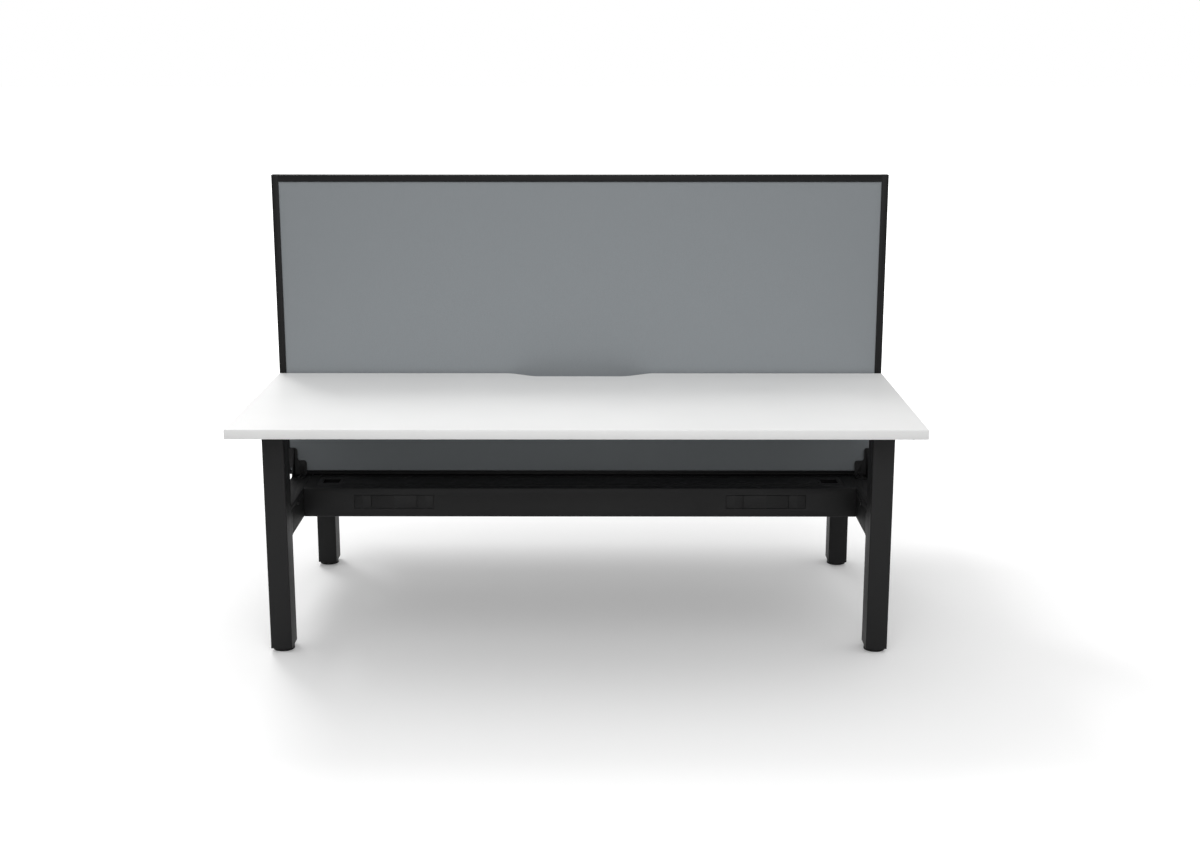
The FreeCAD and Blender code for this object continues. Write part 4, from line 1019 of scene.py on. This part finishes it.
class WORKSTATION_OT_screen_fabric(bpy.types.Operator):
    """Build the woven panels of the screen, crowned a little and turned in at their edges"""

    bl_idname = "workstation.screen_fabric"
    bl_label = "Screen fabric"

    columns: IntProperty(
        name="Columns", description="Faces along a panel", default=72, min=8, max=200
    )
    rows: IntProperty(name="Rows", description="Faces up a panel", default=36, min=8, max=200)

    def execute(self, context):
        for side in SIDES:
            self.panel(context, side)
        return {"FINISHED"}

    def panel(self, context, side):
        node = "screen_%s_panel" % side
        sizes = context.scene.workstation_sizes
        low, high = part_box(node)
        length = high.x - low.x
        height = high.z - low.z
        depth = high.y - low.y
        mesh = bmesh.new()
        bmesh.ops.create_grid(mesh, x_segments=self.columns, y_segments=self.rows, size=0.5)
        bmesh.ops.scale(mesh, vec=(length, height, 1.0), verts=mesh.verts)
        border = [edge for edge in mesh.edges if edge.is_boundary]
        sides = bmesh.ops.extrude_edge_only(mesh, edges=border)["geom"]
        back = [item for item in sides if isinstance(item, bmesh.types.BMVert)]
        bmesh.ops.translate(mesh, verts=back, vec=(0.0, 0.0, -depth))
        bmesh.ops.contextual_create(mesh, geom=[edge for edge in mesh.edges if edge.is_boundary])
        sharp = sharp_edges(mesh)
        rim = [edge for edge in sharp if min(vertex.co.z for vertex in edge.verts) > -depth / 2]
        round_off(mesh, rim, sizes.fabric_roll, ROLL_STEPS)
        for vertex in mesh.verts:
            if vertex.co.z > -depth / 4:
                across = min(1.0, abs(vertex.co.x) / (length / 2))
                up = min(1.0, abs(vertex.co.y) / (height / 2))
                swell = (1.0 - across**6) * (1.0 - up**6)
                vertex.co.z += sizes.fabric_crown * (swell - 1.0)
        turn = Matrix.Rotation(math.radians(90.0), 4, "X")
        face = low.y
        if side == "rear":
            turn = Matrix.Rotation(math.pi, 4, "Z") @ turn
            face = high.y
        place = Matrix.Translation(((low.x + high.x) / 2, face, (low.z + high.z) / 2))
        bmesh.ops.transform(mesh, matrix=place @ turn, verts=mesh.verts)
        bmesh.ops.recalc_face_normals(mesh, faces=mesh.faces)
        shade_smooth(mesh)
        piece = make_piece(context, mesh, FABRIC, node)


class WORKSTATION_OT_brackets(bpy.types.Operator):
    """Finish the brackets that hold the screen on the crossbars"""

    bl_idname = "workstation.brackets"
    bl_label = "Screen brackets"

    def execute(self, context):
        soften_metal(context, COAT, *(end + "_screen_brackets" for end in ENDS))
        return {"FINISHED"}


class WORKSTATION_OT_screws(bpy.types.Operator):
    """Build the screws and bolts with their hexagon sockets"""

    bl_idname = "workstation.screws"
    bl_label = "Screws and bolts"

    def execute(self, context):
        for node in BLACK_SCREWS:
            detailed_screws(context, node, OXIDE)
        detailed_screws(context, "worktop_screws", ZINC)
        return {"FINISHED"}


class WORKSTATION_OT_stage(bpy.types.Operator):
    """Set up the pale floor, the soft light and the camera"""

    bl_idname = "workstation.stage"
    bl_label = "Studio"

    def execute(self, context):
        stage = context.scene.workstation_stage
        self.world(context, stage)
        self.floor(context, stage)
        for which in ("key", "back", "fill", "front"):
            self.lamp(context, stage, which)
        self.camera(context, stage)
        context.scene.view_settings.view_transform = "Standard"
        return {"FINISHED"}

    def seen_rays(self, graph):
        """Is 1 for what the camera, a reflection or a clear material sees."""
        rays = graph.add("ShaderNodeLightPath").outputs
        seen = graph.math("MAXIMUM", rays["Is Camera Ray"], rays["Is Glossy Ray"])
        return graph.math("MAXIMUM", seen, rays["Is Transmission Ray"])

    def world(self, context, stage):
        world = bpy.data.worlds.new("Studio sky")
        world.use_nodes = True
        context.scene.world = world
        graph = Graph(world.node_tree)
        background = world.node_tree.nodes["Background"]
        background.inputs["Color"].default_value = WHITE
        rise = graph.split(graph.add("ShaderNodeTexCoord").outputs["Generated"])["Z"]
        light = graph.span(rise, 0.0, 1.0, stage.sky_low, stage.sky_high)
        seen = graph.add("ShaderNodeLightPath").outputs["Is Camera Ray"]
        graph.feed(background, "Strength", graph.span(seen, 0.0, 1.0, light, 1.0))

    def floor(self, context, stage):
        mesh = bmesh.new()
        bmesh.ops.create_grid(mesh, x_segments=1, y_segments=1, size=FLOOR_REACH)
        bmesh.ops.translate(mesh, verts=mesh.verts, vec=(0.0, 0.0, -FLOOR_DROP))
        data = bpy.data.meshes.new("studio_floor")
        mesh.to_mesh(data)
        mesh.free()
        floor = bpy.data.objects.new("studio_floor", data)
        context.scene.collection.objects.link(floor)
        material, graph, shader, place = new_material("Studio floor", 0.0)
        seen = self.seen_rays(graph)
        tone = graph.mix(seen, grey(stage.floor_bounce), grey(stage.floor_tone))
        graph.feed(shader, "Base Color", tone)
        graph.feed(shader, "Roughness", 1.0)
        glow = graph.add("ShaderNodeEmission")
        away = graph.add("ShaderNodeVectorMath", operation="LENGTH")
        graph.feed(away, 0, place)
        reach = away.outputs["Value"]
        lift = graph.span(reach, stage.fade_near, stage.fade_far, stage.floor_lift, 1.0)
        graph.feed(glow, "Strength", graph.times(seen, lift))
        both = graph.add("ShaderNodeAddShader")
        graph.feed(both, 0, shader.outputs[0])
        graph.feed(both, 1, glow.outputs[0])
        # seen from below, the floor is clear, so that the underside of the desk shows
        top_only = graph.add("ShaderNodeMixShader")
        graph.feed(top_only, 0, graph.add("ShaderNodeNewGeometry").outputs["Backfacing"])
        graph.feed(top_only, 1, both.outputs[0])
        graph.feed(top_only, 2, graph.add("ShaderNodeBsdfTransparent").outputs[0])
        output = material.node_tree.nodes["Material Output"]
        graph.feed(output, "Surface", top_only.outputs[0])
        data.materials.append(material)

    def lamp(self, context, stage, which):
        name = which + "_lamp"
        data = bpy.data.lights.new(name, "AREA")
        data.shape = "ELLIPSE"
        data.size, data.size_y = getattr(stage, which + "_size")
        data.energy = getattr(stage, which + "_power")
        lamp = bpy.data.objects.new(name, data)
        lamp.location = getattr(stage, which + "_place")
        lamp.rotation_euler = (LAMP_AIM - lamp.location).to_track_quat("-Z", "Y").to_euler()
        context.scene.collection.objects.link(lamp)

    def camera(self, context, stage):
        data = bpy.data.cameras.new("studio_camera")
        data.lens = stage.lens
        data.sensor_width = 36.0
        data.sensor_fit = "HORIZONTAL"
        camera = bpy.data.objects.new("studio_camera", data)
        camera.location = stage.camera_place
        camera.rotation_euler = (math.pi / 2 - stage.camera_tilt, 0.0, stage.camera_turn)
        context.scene.collection.objects.link(camera)
        context.scene.camera = camera


class WORKSTATION_PT_panel(bpy.types.Panel):
    """Lists the workstation's pieces, colours and sizes"""

    bl_label = "Back-to-back workstation"
    bl_idname = "WORKSTATION_PT_panel"
    bl_space_type = "VIEW_3D"
    bl_region_type = "UI"
    bl_category = "Workstation"

    def draw(self, context):
        column = self.layout.column()
        for operator in OPERATORS:
            column.operator(operator.bl_idname)
        for group, title in GROUPS:
            settings = getattr(context.scene, title)
            column.separator()
            for name in group.__annotations__:
                column.prop(settings, name)


GROUPS = (
    (WorkstationColours, "workstation_colours"),
    (WorkstationSizes, "workstation_sizes"),
    (WorkstationStage, "workstation_stage"),
)

OPERATORS = (
    WORKSTATION_OT_stage,
    WORKSTATION_OT_worktops,
    WORKSTATION_OT_legs,
    WORKSTATION_OT_feet,
    WORKSTATION_OT_crossbars,
    WORKSTATION_OT_tray,
    WORKSTATION_OT_screen_frame,
    WORKSTATION_OT_screen_fabric,
    WORKSTATION_OT_brackets,
    WORKSTATION_OT_screws,
)


def register():
    for group, title in GROUPS:
        bpy.utils.register_class(group)
        setattr(bpy.types.Scene, title, PointerProperty(type=group))
    for operator in OPERATORS:
        bpy.utils.register_class(operator)
    bpy.utils.register_class(WORKSTATION_PT_panel)


def unregister():
    bpy.utils.unregister_class(WORKSTATION_PT_panel)
    for operator in reversed(OPERATORS):
        bpy.utils.unregister_class(operator)
    for group, title in GROUPS:
        delattr(bpy.types.Scene, title)
        bpy.utils.unregister_class(group)


def main():
    register()
    for operator in OPERATORS:
        family, name = operator.bl_idname.split(".")
        getattr(getattr(bpy.ops, family), name)()


if __name__ == "__main__":
    main()
